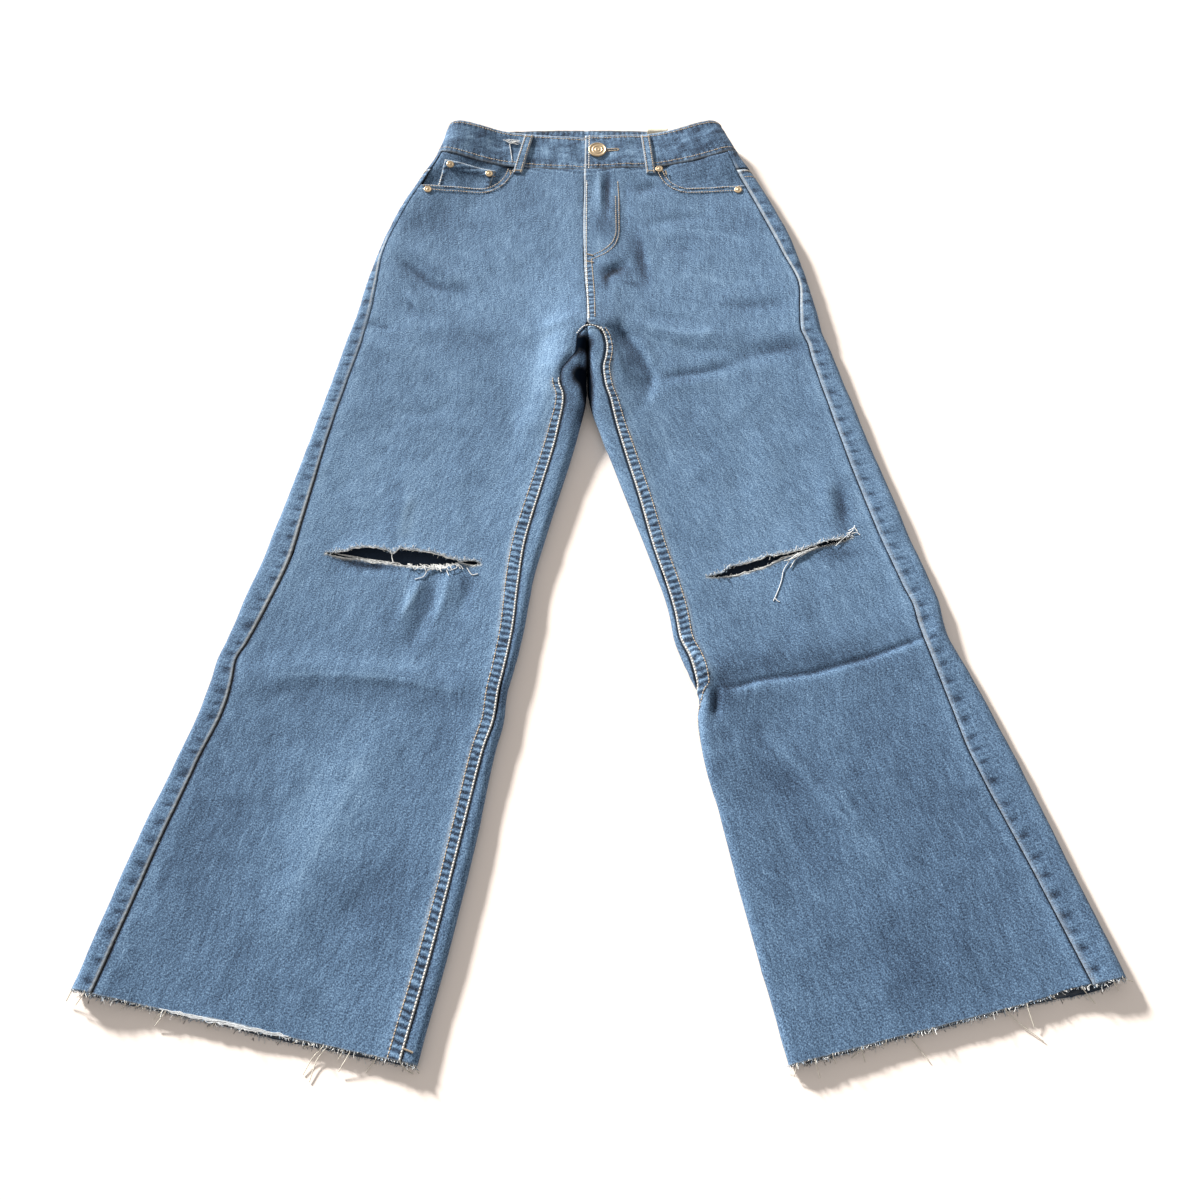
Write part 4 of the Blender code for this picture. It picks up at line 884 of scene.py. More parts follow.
def front_panel(half):
    """Builds a front panel; returns it with its hem and the two torn edges of its rip."""
    top = LEVEL_ROWS
    rip = RIPS[half.name]
    rip_x = np.array([point[0] for point in rip.upper], float)
    upper_down = np.array([point[1] for point in rip.upper], float)
    level = half.find(np.array([rip_x.mean()]), np.array([upper_down.mean() + 4]))[0][0]

    first = front_spread(half, [top])[0]
    tops = mouth_down(half, np.full(first.shape, top), first)
    grid = []
    for part in np.linspace(0, 1, 22)[:-1] ** 1.15:
        downs = tops + (top - tops) * part
        grid.append((downs, own(front_spread, half, downs)))
    for down in np.arange(top, level - RIP_BLEND, ROW):
        grid.append((np.full(first.shape, down), front_spread(half, [down])[0]))
    last = grid[-1][0][0] + ROW
    around = front_spread(half, [level])[0]
    xs = half.value("x_in", level) + half.sign * half.read("u", np.full(around.shape, level), around)
    ends = sorted((rip_x[0], rip_x[-1]))
    inside = (xs > ends[0]) & (xs < ends[1])
    lips = []
    rng = np.random.default_rng(11)
    for side, line in ((-1, rip.upper), (1, rip.lower)):
        line = np.array(sorted(line), float)
        here = np.interp(np.clip(xs, *ends), line[:, 0], line[:, 1])
        here = here + np.where(inside, rng.uniform(-0.6, 0.6, len(xs)), side * 0.5)
        lips.append(half.find(xs, here))
    shifts = [lip_around - own(front_spread, half, lip_down) for lip_down, lip_around in lips]
    steps = np.linspace(0, 1, 14)
    for part in np.append(steps[:-1], 0.975):
        downs = last + (lips[0][0] - last) * part
        grid.append((downs, own(front_spread, half, downs) + shifts[0] * part ** 3))
    hole = len(grid)
    grid += lips
    low = level + RIP_BLEND
    for part in np.append(0.025, steps[1:]):
        downs = lips[1][0] + (low - lips[1][0]) * part
        grid.append((downs, own(front_spread, half, downs) + shifts[1] * (1 - part) ** 3))
    below_knee = np.concatenate([np.arange(low + ROW, KNEE_FOLDS[0], ROW), np.arange(*KNEE_FOLDS, FINE_ROW),
                                 np.arange(KNEE_FOLDS[1] + 1, HEM - 7, ROW),
                                 HEM - np.array([5.4, 4.2, 3.2, 2.3, 1.5, 0.8, 0])])
    for down in below_knee:
        grid.append((np.full(first.shape, down), front_spread(half, [down])[0]))
    downs = np.array([row[0] for row in grid])
    arounds = np.array([row[1] for row in grid])
    downs[-1] += rng.uniform(-0.7, 0.5, downs.shape[1])
    if half is LEFT:
        grown_by = 0.7 * near(half.value("x_in", HEM) - half.read("u", downs[-1], arounds[-1]), LENS_X, 46)
    else:
        grown_by = -2.6 * near(arounds[-1], arounds[-1, -1] - NICK_IN, 26)
    downs[-12:] += grown_by * np.linspace(0.05, 1, 12)[:, None]
    lift, marks = front_marks(half, downs, arounds)
    slack = ramp(xs, ends[0], ends[0] + 22) * (1 - ramp(xs, ends[1] - 26, ends[1]))
    above = np.where(np.arange(len(grid))[:, None] <= hole, lips[0][0] - downs, 1e3)
    beneath = np.where(np.arange(len(grid))[:, None] > hole, downs - lips[1][0], 1e3)
    lift = lift + slack * (RIP_LIFT[half.name] * np.exp(-np.abs(above) / 11) - 1.4 * np.exp(-np.abs(beneath) / 8))
    torn = inside * (0.55 * near(above, 0, 0.8) + 0.85 * near(beneath, 0, 0.9))
    marks["worn"] = marks["worn"] + torn
    outer, normal = half.cloth(downs, arounds, lift)
    keep = np.ones((len(grid) - 1, downs.shape[1] - 1), bool)
    keep[hole] = ~(inside[:-1] & inside[1:])
    flat = np.stack([arounds, downs], axis=-1)
    piece = shell("front_" + half.name + "_cloth", outer, normal, DENIM, flat, marks, panel_denim, keep)
    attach(piece, "root")
    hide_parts("front_" + half.name)
    hem = (outer[-1] - normal[-1] * 0.5, normal[-1])
    torn_edges = [(outer[row, inside] - normal[row, inside] * 0.5, normal[row, inside])
                  for row in (hole, hole + 1)]
    return piece, hem, torn_edges


hems, torn_lips = {}, {}
for half in (LEFT, RIGHT):
    piece, hems[half.name], torn_lips[half.name] = front_panel(half)

# ---- The back panels and yokes ------------------------------------------------------------------------
# Each back panel wraps from the side seam round the fold, under the leg and up to the inseam.  A yoke,
# short at the side and deep at the middle, joins it to the waist, and the whole back lies on the table.
def back_spread(half, down):
    """Ways round from the side seam to the inseam or the seat; one row for each place down."""
    down = np.asarray(down, float)
    knots = [half.value("outseam", down) + SEAM / 2, half.value("side", down), half.value("floor_out", down),
             half.value("floor_in", down) - 20, half.value("seat", down)]
    parts = [knots[0][..., None]]
    for start, end, steps in zip(knots, knots[1:], (12, 12, 44, 18)):
        parts.append(start[..., None] + (end - start)[..., None] * np.arange(1, steps + 1) / steps)
    return np.concatenate(parts, axis=-1)


def back_marks(half, downs, arounds):
    """The back's lift over its plain face, and its dye, painted shade and highlight, puckers and wear."""
    place, back = half.plain(downs, arounds)
    x, here = place[..., 0], HALF_LENGTH - place[..., 1]
    start, seat = half.value("outseam", downs), half.value("seat", downs)
    from_out, from_in = arounds - start - SEAM / 2, seat - arounds
    blots = ramp(np.sin(downs * 0.36 + 2.6 * ripple(arounds * 0.4, downs, 42, 31 + half.sign)), 0.25, 1)
    strip = 1 - ramp(from_out, 12, 26)
    lift = 0.25 * strip * (1 - near(from_out, 0, 1.6)) * (1 - 1.3 * blots) - 0.25 * near(from_out, 0, 0.6)
    lift = lift * ramp(downs, 80, 120) - 0.3 * near(from_in, 0, 1)
    from_hem = HEM - downs
    shaded = np.where(back < 0.5, 1, near(x, half.value("x_in", downs), 3))
    if half is LEFT:
        bared, groove_shade = 165, 1.3 * ramp(downs, 300, 560) * near(from_out, 0.2, 0.9)
        edge = near(from_out, 2.5, 0.8)
    else:
        bared, groove_shade = 76, 0
        edge = 1.1 * near(from_out, 1.2, 1.1)
    # groove_shade and the dark lines along the inseam and the seat's edge are painted shade in the seam grooves;
    # the hollow's marks are painted shade and highlight under the crotch.
    tone = (0.02 + fade_and_shade(x, here) * (1 - back) * 0.8 + fade_and_shade(x, here, HOLLOW_SHADE) * shaded - groove_shade
            - 0.44 * blots * near(from_out, 7, 4.5) - 0.02 * strip
            # Darker below the knees, as on the front: partly painted shade, partly less faded dye.
            - 0.07 * ramp(downs, 570, 720) - 0.8 * near(from_in, 0, 1)
            + back * (0.16 * near(here, 240, 110) * near(np.abs(x + 17), 120, 90) - 0.05)
            - 0.35 * near(from_in, 0, 1.2) * (1 - ramp(downs, 300, 320)))
    marks = {
        "tone": tone,
        "pucker": 0.15 * strip * ramp(from_out, 1.5, 4),
        "worn": (edge * ramp(downs, bared, bared + 20) * (0.8 + 0.2 * np.sin(downs * 1.05))
                 + 0.25 * near(from_hem, 0, 1.2)),
    }
    return lift, marks


def yoke_line(half):
    """How far down the yoke's seam lies, for each column of the back."""
    at_waist = back_spread(half, [WAIST_SEAM])[0]
    return 89 + 56 * ramp((at_waist - at_waist[0]) / (at_waist[-1] - at_waist[0]), 0.15, 1.1)


for half in (LEFT, RIGHT):
    rng = np.random.default_rng(17)
    yoke_low = yoke_line(half)
    for name, starts, stops in (("yoke", np.full(yoke_low.shape, WAIST_SEAM + SEAM / 2), yoke_low - SEAM / 2),
                                ("back", yoke_low + SEAM / 2, np.full(yoke_low.shape, HEM))):
        if name == "back":
            near_top = np.linspace(0, 1, 24)[:, None]
            top_rows = starts + (175 - starts) * near_top
            even_rows = np.repeat(np.arange(175, HEM, 3.3)[:, None], len(starts), axis=1)
            downs = np.concatenate([top_rows[:-1], even_rows, stops[None, :]])
        else:
            downs = starts + (stops - starts) * np.linspace(0, 1, 16)[:, None]
        arounds = np.array([own(back_spread, half, row) for row in downs])
        if name == "back":
            place, on_floor = half.plain(downs[-1], arounds[-1])
            if half is LEFT:
                longer = 1.2 + 1.8 * near(place[:, 0], -250, 60)
            else:
                longer = 1.4 + 2.8 * near(place[:, 0], 416, 32)
            longer = longer * on_floor + rng.uniform(-0.6, 0.5, len(starts))
            downs[-8:] += longer * np.linspace(0.05, 1, 8)[:, None] ** 1.5
        lift, marks = back_marks(half, downs, arounds)
        if name == "yoke":
            lift = lift * 0
            marks["tone"] = marks["tone"] - 0.12 - 0.3 * near(downs, stops, 1.5)
        else:
            lift = lift - 0.4 * near(downs, starts, 1.2)
            marks["worn"] = marks["worn"] + 0.5 * near(downs, starts, 0.8)
            marks["pucker"] = np.maximum(marks["pucker"], 0.5 * near(downs, starts + 5, 5))
        outer, normal = half.cloth(downs, arounds, lift)
        flat = np.stack([arounds + 500, downs], axis=-1)
        piece = shell(name + "_" + half.name + "_cloth", outer, normal, DENIM, flat, marks, panel_denim)
        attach(piece, "root")
        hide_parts(name + "_" + half.name)
        if name == "yoke":
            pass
        else:
            hems["back_" + half.name] = (outer[-1] - normal[-1] * 0.5, normal[-1])

# ---- The back pockets ---------------------------------------------------------------------------------
# Two flat five-sided patches with a turned top hem, between the back panels and the table.
POCKET_TOP = ((45, 168), (178, 152))
POCKET_LOW = ((47, 282), (118, 306), (186, 262))
POCKET_SHIFT = -16
POCKET_WIDE, POCKET_HIGH = 135, 115
pocket_rows = {}
for half in (LEFT, RIGHT):
    across = np.linspace(0, 1, 34)
    low_share = np.array([0, 0.51, 1])
    low = np.array(POCKET_LOW)
    top_line = np.array(POCKET_TOP[0]) + (np.array(POCKET_TOP[1]) - np.array(POCKET_TOP[0])) * across[:, None]
    low_line = np.stack([np.interp(across, low_share, low[:, i]) for i in (0, 1)], axis=-1)
    fall = np.linspace(0, 1, 40)[:, None, None]
    flat = top_line + (low_line - top_line) * fall
    x, here = half.sign * flat[..., 0] + POCKET_SHIFT, flat[..., 1]
    rim = np.minimum(np.minimum(across, 1 - across)[None, :] * POCKET_WIDE, (1 - fall[..., 0]) * POCKET_HIGH)
    height = 0.10 + 0.25 * near(rim, 0, 1.2) + 0.10 * (1 + ripple(x, here, 26, 41))
    outer = np.stack([x, HALF_LENGTH - here, height], axis=-1)
    normal = np.broadcast_to([0, 0, -1], outer.shape)
    hem_line = fall[..., 0] * POCKET_HIGH
    marks = {"tone": 0.10 - 0.25 * near(rim, 9, 2) - 0.2 * near(hem_line, 14, 1.5),
             "pucker": 0.5 * np.maximum(1 - ramp(rim, 7, 9), 1 - ramp(hem_line, 11, 13) + 0 * x),
             "worn": 0.5 * near(np.minimum(rim, hem_line), 0, 1)}
    piece = shell("back_pocket_" + half.name + "_cloth", outer, normal, 1, np.stack([x + 1300, here], axis=-1),
                  marks, panel_denim)
    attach(piece, "root")
    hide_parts("back_pocket_" + half.name)
    rim_line = np.concatenate([outer[2:, 1], outer[-2, 1:-1], outer[:1:-1, -2]])
    pocket_rows[half.name] = [(rim_line + [0, 0, -0.1], np.tile([0, 0, -1], (len(rim_line), 1))),
                              (outer[4] + [0, 0, -0.1], normal[4])]

# ---- The pocket facings and the coin pocket -------------------------------------------------------------
# Darker denim shows inside both pocket mouths, and the left one carries a small coin pocket whose top is
# turned down and stitched.
UNDER_LAYER = 1.75      # each layer under a panel lies this much deeper
WAIST_CLIMB = 0.75      # and rises by this share of it at the waist seam


def waist_depth(half, x, here):
    """The layers' depth behind a mouth, as a share: less where they come up to the waist seam."""
    return 1 - WAIST_CLIMB * (1 - ramp(here, 72, 92)) * ramp(-from_mouth(half, x, here), 2, 12)


for half, layers in ((LEFT, 2), (RIGHT, 1)):
    mouth = MOUTHS[half.name]
    start = abs(mouth.x_inner - half.value("x_in", mouth.down_inner)) - 12
    end = half.value("width", 120) - half.value("seam_out", 120)
    us = np.linspace(start, end, 40)
    xs = half.value("x_in", mouth.down_inner) + half.sign * us
    probe = half.way_in(np.full(us.shape, LEVEL_ROWS), us)
    low = np.maximum(mouth_down(half, np.full(us.shape, LEVEL_ROWS), probe), 84) + 12
    downs = WAIST_SEAM + SEAM + (low - WAIST_SEAM - SEAM) * np.linspace(0, 1, 18)[:, None]
    first = half.way_in(downs, start)
    arounds = first + (half.value("outseam", downs) - SEAM / 2 - first) * np.linspace(0, 1, 40)
    place = half.plain(downs, arounds)[0]
    depth = layers * UNDER_LAYER * waist_depth(half, place[..., 0], HALF_LENGTH - place[..., 1])
    outer, normal = half.cloth(downs, arounds, 0.15 * ripple(arounds, downs, 16, 51) - depth)
    # The dark line at the top of each facing is painted shade under the waistband's edge.
    marks = {"tone": -0.10 - 0.3 * near(downs, 71, 1.5), "pucker": 0.12}
    piece = shell("pocket_facing_" + half.name + "_cloth", outer, normal, DENIM,
                  np.stack([arounds + 1700, downs], axis=-1), marks, panel_denim)
    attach(piece, "root")
    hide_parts("pocket_facing_" + half.name)

COIN_CORNERS = ((-179, 64), (-121, 73), (-187, 108), (-131, 108))
COIN_WIDE, COIN_HIGH = 58, 40
x, here = ruled(COIN_CORNERS, 26, 34)
across = np.linspace(0, 1, 34)[None, :] + 0 * x
from_top = np.linspace(0, 1, 26)[:, None] * COIN_HIGH + 0 * x
from_side = np.minimum(across, 1 - across) * COIN_WIDE
coin_hem = 1 - ramp(from_top, 8.5, 10)
lift = 0.25 * coin_hem + 0.25 * ripple(x, here, 13, 53) - 0.3 * near(from_side, 0, 1)
outer, normal = laid(x, here, lift - UNDER_LAYER * waist_depth(LEFT, x, here))
marks = {"tone": -0.06 - 0.3 * near(from_top, 10.5, 1.4) - 0.18 * near(from_side, 4, 1.5),
         "pucker": 0.7 * np.maximum(coin_hem, 1 - ramp(from_side, 4, 6)),
         "worn": 0.6 * near(from_top, 0, 0.9) + 0.45 * near(from_side, 0, 0.8)}
piece = shell("coin_pocket_cloth", outer, normal, DENIM, np.stack([x + 2100, here], axis=-1), marks, panel_denim)
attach(piece, "root")
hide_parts("coin_pocket")

# ---- The waistband --------------------------------------------------------------------------------------
# One strip of doubled denim runs from the button end round the left side and the back to the end with
# the buttonhole, which laps over.  It is ropier and more mottled than the panels.
BAND_THICK = 2.4
BAND_PROUD = 0.6        # it stands this far out over the panels
FLAP_LIFT = 1.4         # where the ends lap, one lies this much higher and the other this much lower
SLOT_NEAR, SLOT_FAR, SLOT_DOWN = 11, 38, 43      # the buttonhole's ends and height


def slot_half(u):
    """Half the buttonhole's height: wide round the button's shank and narrow at its far end."""
    return 2.7 - 1.9 * ramp(u, 17, 23)


def band_lift(half, u, back):
    """How high the band lies at each place, where one end laps over the other."""
    if half is RIGHT:
        return BAND_PROUD + FLAP_LIFT * (1 - ramp(u, 44, 66)) * (1 - back)
    return BAND_PROUD - FLAP_LIFT * (1 - ramp(u, 3, 26)) * (1 - back)


band_downs = np.concatenate([[20, 20.4, 21.1, 22.2], np.arange(24, 38, 2), np.arange(38.6, 47.8, 0.8),
                             np.arange(49, 66, 2), [67.2, 68.5, 69.3, 69.85]])[:, None]
runs = []
under_u = np.linspace(36, 0.6, 16)
under_around = RIGHT.way_in(band_downs, under_u)
runs.append((RIGHT, under_around, np.full(under_around.shape, BAND_PROUD - FLAP_LIFT)))
for half, near_u in ((LEFT, 0.5), (RIGHT, 0.3)):
    start, end = half.way_in(band_downs, near_u), half.value("seat", band_downs)
    if half is LEFT:
        arounds = start + (end - start) * np.linspace(0, 1, 124)
    else:
        hole_end = half.way_in(band_downs, 44)
        arounds = np.concatenate([end + (hole_end - end) * np.linspace(0, 1, 106)[:-1],
                                  hole_end + (start - hole_end) * np.linspace(0, 1, 44)], axis=1)
    us, backs = (half.read(kind, band_downs + 0 * arounds, arounds) for kind in ("u", "back"))
    runs.append((half, arounds, band_lift(half, us, backs)))
pieces_of_band = []
for half, arounds, lift in runs:
    rolled = -0.6 * near(band_downs, 20, 0.9) - 0.5 * near(band_downs, 69.85, 0.8)
    ropes = 0.22 * np.sin(arounds * 0.55 + band_downs * 0.25 + 1.6 * ripple(arounds, band_downs, 34, 61))
    ropes = (ropes * (near(band_downs, 25, 6) + near(band_downs, 65, 6))
             + 0.22 * ripple(arounds, band_downs, 17, 62))
    pieces_of_band.append(half.cloth(band_downs + 0 * arounds, arounds, lift + rolled + ropes))
outer = np.concatenate([points for points, _ in pieces_of_band], axis=1)
normal = np.concatenate([ways for _, ways in pieces_of_band], axis=1)
middle_row = len(band_downs) // 2
run = np.concatenate([[0], np.cumsum(np.linalg.norm(np.diff(outer[middle_row], axis=0), axis=1))])
flap = runs[2][1]
flap_u, flap_back = (RIGHT.read(kind, band_downs + 0 * flap, flap) for kind in ("u", "back"))
FAR = 999       # stands for any place away from the band's end
from_end = np.full(outer.shape[:2], float(FAR))
from_end[:, -flap.shape[1]:] = np.where(flap_back > 0.5, FAR, flap_u)
middle_u = (from_end[:-1, :-1] + from_end[1:, 1:]) / 2
middle_down = (band_downs[:-1] + band_downs[1:]) / 2
in_slot = np.abs(middle_down - SLOT_DOWN) < slot_half(middle_u)
keep = ~(in_slot & (middle_u > SLOT_NEAR) & (middle_u < SLOT_FAR))
# The band turns darker towards its right end: painted shade where it bows away from the lamp.
marks = {"tone": -0.13 + 0.18 * ripple(run[None, :], band_downs, 24, 63) + 0.12 * near(band_downs, 45, 9)
         + 0.16 * ripple(run[None, :] * 0.7, band_downs * 1.3, 9, 64)
         - 0.10 * near(from_end, 8, 3) - 0.13 * ramp(outer[..., 0], 50, 100),
         "pucker": 0.14 + 0.45 * (near(band_downs, 24, 4) + near(band_downs, 65.5, 4)) + 0 * from_end,
         "worn": (0.45 * near(band_downs, 20.6, 1) + 0.40 * near(band_downs, 69.3, 0.7)
                  + 0.8 * near(from_end, 0.3, 0.8)),
         "inside": 0}
band_map = np.stack([band_downs + 2500 + 0 * from_end, run[None, :] + 0 * from_end], axis=-1)
piece = shell("waistband_cloth", outer, normal, BAND_THICK, band_map, marks, panel_denim, keep)
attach(piece, "root")
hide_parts("waistband")
band_face, band_way = outer, normal

# ---- The belt loops -------------------------------------------------------------------------------------
# Five narrow strips over the band, each with two rows of stitching and a bar tack at both ends.
Loop = namedtuple("Loop", "name x_top x_low top back")
LOOPS = [Loop(*row) for row in (
    ("belt_loop_front_left", -83, -95.5, 20, 0), ("belt_loop_front_right", 53, 59, 20, 0),
    ("belt_loop_back_left", -122, -128, 5, 1), ("belt_loop_back_centre", -17, -17, 1, 1),
    ("belt_loop_back_right", 88, 94, 5, 1),
)]
LOOP_WIDTH, LOOP_LENGTH = 10.5, 57
LOOP_OVER_BAND = BAND_PROUD + SEAM + DENIM
BOWED = (0.25, 1.1, 1.4, 1.4, 0.9, 0.3, -0.4)
FLAT = (0, 0, 0, 0, 0, 0, -0.5)
loop_rows, loop_bars = [], []
for loop in LOOPS:
    ends = ((loop.x_top, loop.top), (loop.x_low, loop.top + LOOP_LENGTH))
    x, here = ruled([(x + side * LOOP_WIDTH / 2, down) for x, down in ends for side in (-1, 1)], 36, 13)
    fall = np.linspace(0, 1, 36)[:, None] + 0 * x
    side = np.linspace(-1, 1, 13)[None, :] + 0 * x
    bow = np.interp(fall, np.linspace(0, 1, 7), FLAT if loop.back else BOWED)
    bow = bow - 0.45 * near(np.abs(side), 1, 0.14) - 0.3 * near(fall, 0, 0.02) - 0.3 * near(fall, 1, 0.02)
    bow = bow + 0.12 * ripple(x, here, 9, 71) - 0.35 * near(fall, 0.93, 0.02)
    outer, normal = laid(x, here, LOOP_OVER_BAND + bow, loop.back)
    marks = {"tone": 0.05 - 0.30 * near(np.abs(side), 0.62, 0.16) + 0.10 * near(side, 0, 0.3),
             "pucker": 0.25, "worn": 0.65 * near(np.abs(side), 1, 0.18)}
    piece = shell(loop.name + "_cloth", outer, normal, DENIM, np.stack([x + 2900, here], axis=-1), marks,
                  panel_denim)
    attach(piece, "root")
    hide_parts(loop.name)
    for column in (2, 10):
        loop_rows.append((outer[1:-1, column], normal[1:-1, column]))
    for row in (2, 33):
        loop_bars.append((outer[row, 1:-1] + 0.15 * normal[row, 1:-1], normal[row, 1:-1]))

# ---- The fly's inner parts --------------------------------------------------------------------------------
# Behind the closed fly a shield of denim backs a zip, whose slider is parked at the top.
def inner_piece(name, corners, depths, thick, look):
    """A flat piece under the fly, as deep at each x as depths says."""
    x, here = ruled(corners, 20, 18)
    outer, normal = laid(x, here, -np.interp(x, *depths))
    piece = shell(name + "_cloth", outer, normal, thick, np.stack([x + 3300, here], axis=-1), {"tone": -0.1}, look)
    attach(piece, "root")
    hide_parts(name)


tape_look = speckled("woven_zip_tape", 0.85, (1500, 400, 400), (0.05, 0.08, 0.14), (0.12, 0.18, 0.28))[0]
FLY_TOP, FLY_LOW = 71.5, 214
inner_piece("fly_shield", ((-46, FLY_TOP), (24, FLY_TOP), (-46, FLY_LOW), (24, FLY_LOW)),
            ((-46, -32, -18, 24), (1.6, 1.6, 5.3, 5.3)), DENIM, panel_denim)
inner_piece("zip_tape", ((-10, FLY_TOP), (16, FLY_TOP), (-10, 206), (16, 206)), ((0,), (UNDER_LAYER,)), 1,
            tape_look)

# ---- The button, the rivets and the zip slider ------------------------------------------------------------
# Antique brass: a jeans button with plain rings on a short shank, five domed rivets, and the zip's slider.
brass_look, tree, shader, tarnish = speckled("antique_brass_hardware", 0.5, (700, 700, 700), (0.80, 0.63, 0.42),
                                             (0.42, 0.31, 0.19), 4, 0.6)
shader["Metallic"].default_value = 0.9
tree.links.new(maths(tree, "ADD", maths(tree, "MULTIPLY", tarnish, 0.35), 0.26), shader["Roughness"])
# Each turned shape as (radius, height) from its foot to its top.
BUTTON_RINGS = ((0, 0), (2.2, 0), (2.2, 2.8), (9.7, 2.8), (10.3, 3.2), (10.5, 3.8), (10.45, 4.3), (10.1, 4.75),
                (9.6, 4.95), (9, 4.85), (8.6, 4.5), (8.2, 4.35), (6.3, 4.35), (5.9, 4.5), (5.6, 4.75),
                (5.25, 4.75), (4.9, 4.5), (4.5, 4.35), (3.2, 4.4), (2.8, 4.55), (2.5, 4.75), (2, 4.8), (1.6, 4.6),
                (0, 4.55))
RIVET_RINGS = ((0, 0), (4.3, 0), (4.4, 0.35), (4.15, 0.7), (3.6, 0.85), (2.7, 0.85), (2.3, 0.65), (1.9, 0.7),
               (1.5, 0.95), (0.9, 1.1), (0, 1.15))
Stud = namedtuple("Stud", "name x down lift rings turns")
STUDS = [Stud("button", -3, 43, BAND_PROUD - FLAP_LIFT + SEAM, BUTTON_RINGS, 72)]
for name, x, here, layers in (("rivet_mouth_left", -196.5, 106.5, 0), ("rivet_coin_outer", -172.5, 70.5, 1),
                              ("rivet_coin_inner", -128, 77.5, 1), ("rivet_mouth_right", 158, 105.5, 0),
                              ("rivet_mouth_right_inner", 68.6, 70, 0)):
    sunk = layers * UNDER_LAYER * float(waist_depth(LEFT, x, here))
    STUDS.append(Stud(name, x, here, 0.45 - sunk, RIVET_RINGS, 40))
for stud in STUDS:
    centre, way = laid(np.array([stud.x]), np.array([stud.down]), stud.lift)
    axis = Vector(way[0])
    turn = Vector((0, 0, 1)).rotation_difference(axis).to_matrix()
    bm = bmesh.new()
    rings = []
    for radius, height in stud.rings:
        angles = [0] if radius == 0 else [2 * math.pi * i / stud.turns for i in range(stud.turns)]
        offsets = [Vector((radius * math.cos(a), radius * math.sin(a), height)) for a in angles]
        rings.append([bm.verts.new((Vector(centre[0]) + turn @ offset) * MM) for offset in offsets])
    for below, above in zip(rings, rings[1:]):
        for i in range(stud.turns):
            j = (i + 1) % stud.turns
            corners = [below[i % len(below)], below[j % len(below)], above[j % len(above)], above[i % len(above)]]
            bm.faces.new(list(dict.fromkeys(corners)))
    bmesh.ops.recalc_face_normals(bm, faces=bm.faces)
    mesh = bpy.data.meshes.new(stud.name + "_brass")
    bm.to_mesh(mesh)
    bm.free()
    mesh.shade_smooth()
    mesh.set_sharp_from_angle(angle=math.radians(50))
    mesh.materials.append(brass_look)
    piece = placed(stud.name + "_brass", mesh)
    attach(piece, "root")
    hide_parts(stud.name)
slider_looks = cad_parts["zip_slider"].data.materials
slider_looks.clear()
slider_looks.append(brass_look)

# ---- The size label ----------------------------------------------------------------------------------------
# A small blank cotton label, sewn inside the back of the band, right of its middle.  Its upper edge stands
# up, so that a little of it shows over the front of the band.
cotton_look = speckled("unbleached_label_cotton", 0.9, (2200, 900, 900), (0.78, 0.69, 0.52), (0.94, 0.87, 0.71))[0]
x, here = ruled(((56, 1.8), (80, 2.6), (56, 20.8), (80, 21.6)), 20, 20)
LABEL_UNDER = BAND_THICK - BAND_PROUD + SEAM
LABEL_TURN = 4.8        # its upper edge stands up this much from the rest
lift = -LABEL_UNDER - 0.15 * (1 + ripple(x, here, 12, 81)) - LABEL_TURN * (1 - ramp(here, 5, 12))
outer, normal = laid(x, here, lift, 1)
piece = shell("size_label_cotton", outer, normal, 0.6, np.stack([x, here], axis=-1), {}, cotton_look)
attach(piece, "root")
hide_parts("size_label")

# ---- The stitching -----------------------------------------------------------------------------------------
# Tan thread in twin rows along the seams, pale thread down the fly and round the crotch, and dense bar
# tacks where the seams take strain.
def random_number(tree, low, high, seed):
    return step(tree, "FunctionNodeRandomValue", {2: low, 3: high, 8: seed}, data_type="FLOAT")[1]


def random_way(tree, reach, seed):
    return step(tree, "FunctionNodeRandomValue", {0: (-reach,) * 3, 1: (reach,) * 3, 8: seed},
                data_type="FLOAT_VECTOR")[0]


def named_vector(tree, name):
    return step(tree, "GeometryNodeInputNamedAttribute", {"Name": name}, data_type="FLOAT_VECTOR")[0]


def growth(name, **inputs):
    """A geometry tree that takes a mesh of lines; returns it, its inputs, and the lines as curves."""
    tree, given, out = group_of("Geometry", name, {"Geometry": "Geometry", **inputs, "Material": "Material"},
                                {"Geometry": "Geometry"})
    return tree, given, out, step(tree, "GeometryNodeMeshToCurve", {"Mesh": given["Geometry"]})[0]


def on_points(tree, given, curve, pitch, instance, way, up, size, shift=None):
    """Instances of one shape along the curves, turned to their way and scaled by size."""
    points = step(tree, "GeometryNodeResampleCurve", {"Curve": curve, "Length": given[pitch]}, mode="LENGTH")[0]
    if shift is not None:
        points = step(tree, "GeometryNodeSetPosition", {"Geometry": points, "Offset": shift})[0]
    turn = step(tree, "FunctionNodeAxesToRotation", {"Primary Axis": way, "Secondary Axis": up},
                primary_axis="X", secondary_axis="Z")[0]
    return step(tree, "GeometryNodeInstanceOnPoints", {"Points": points, "Instance": instance, "Rotation": turn,
                                                       "Scale": size})[0]


def finished(tree, geometry, given, out):
    """Makes the instances real and smooth, gives them their material, and ends the tree."""
    real = step(tree, "GeometryNodeRealizeInstances", {"Geometry": geometry})[0]
    soft = step(tree, "GeometryNodeSetShadeSmooth", {"Geometry": real})[0]
    done = step(tree, "GeometryNodeSetMaterial", {"Geometry": soft, "Material": given["Material"]})[0]
    tree.links.new(done, out["Geometry"])


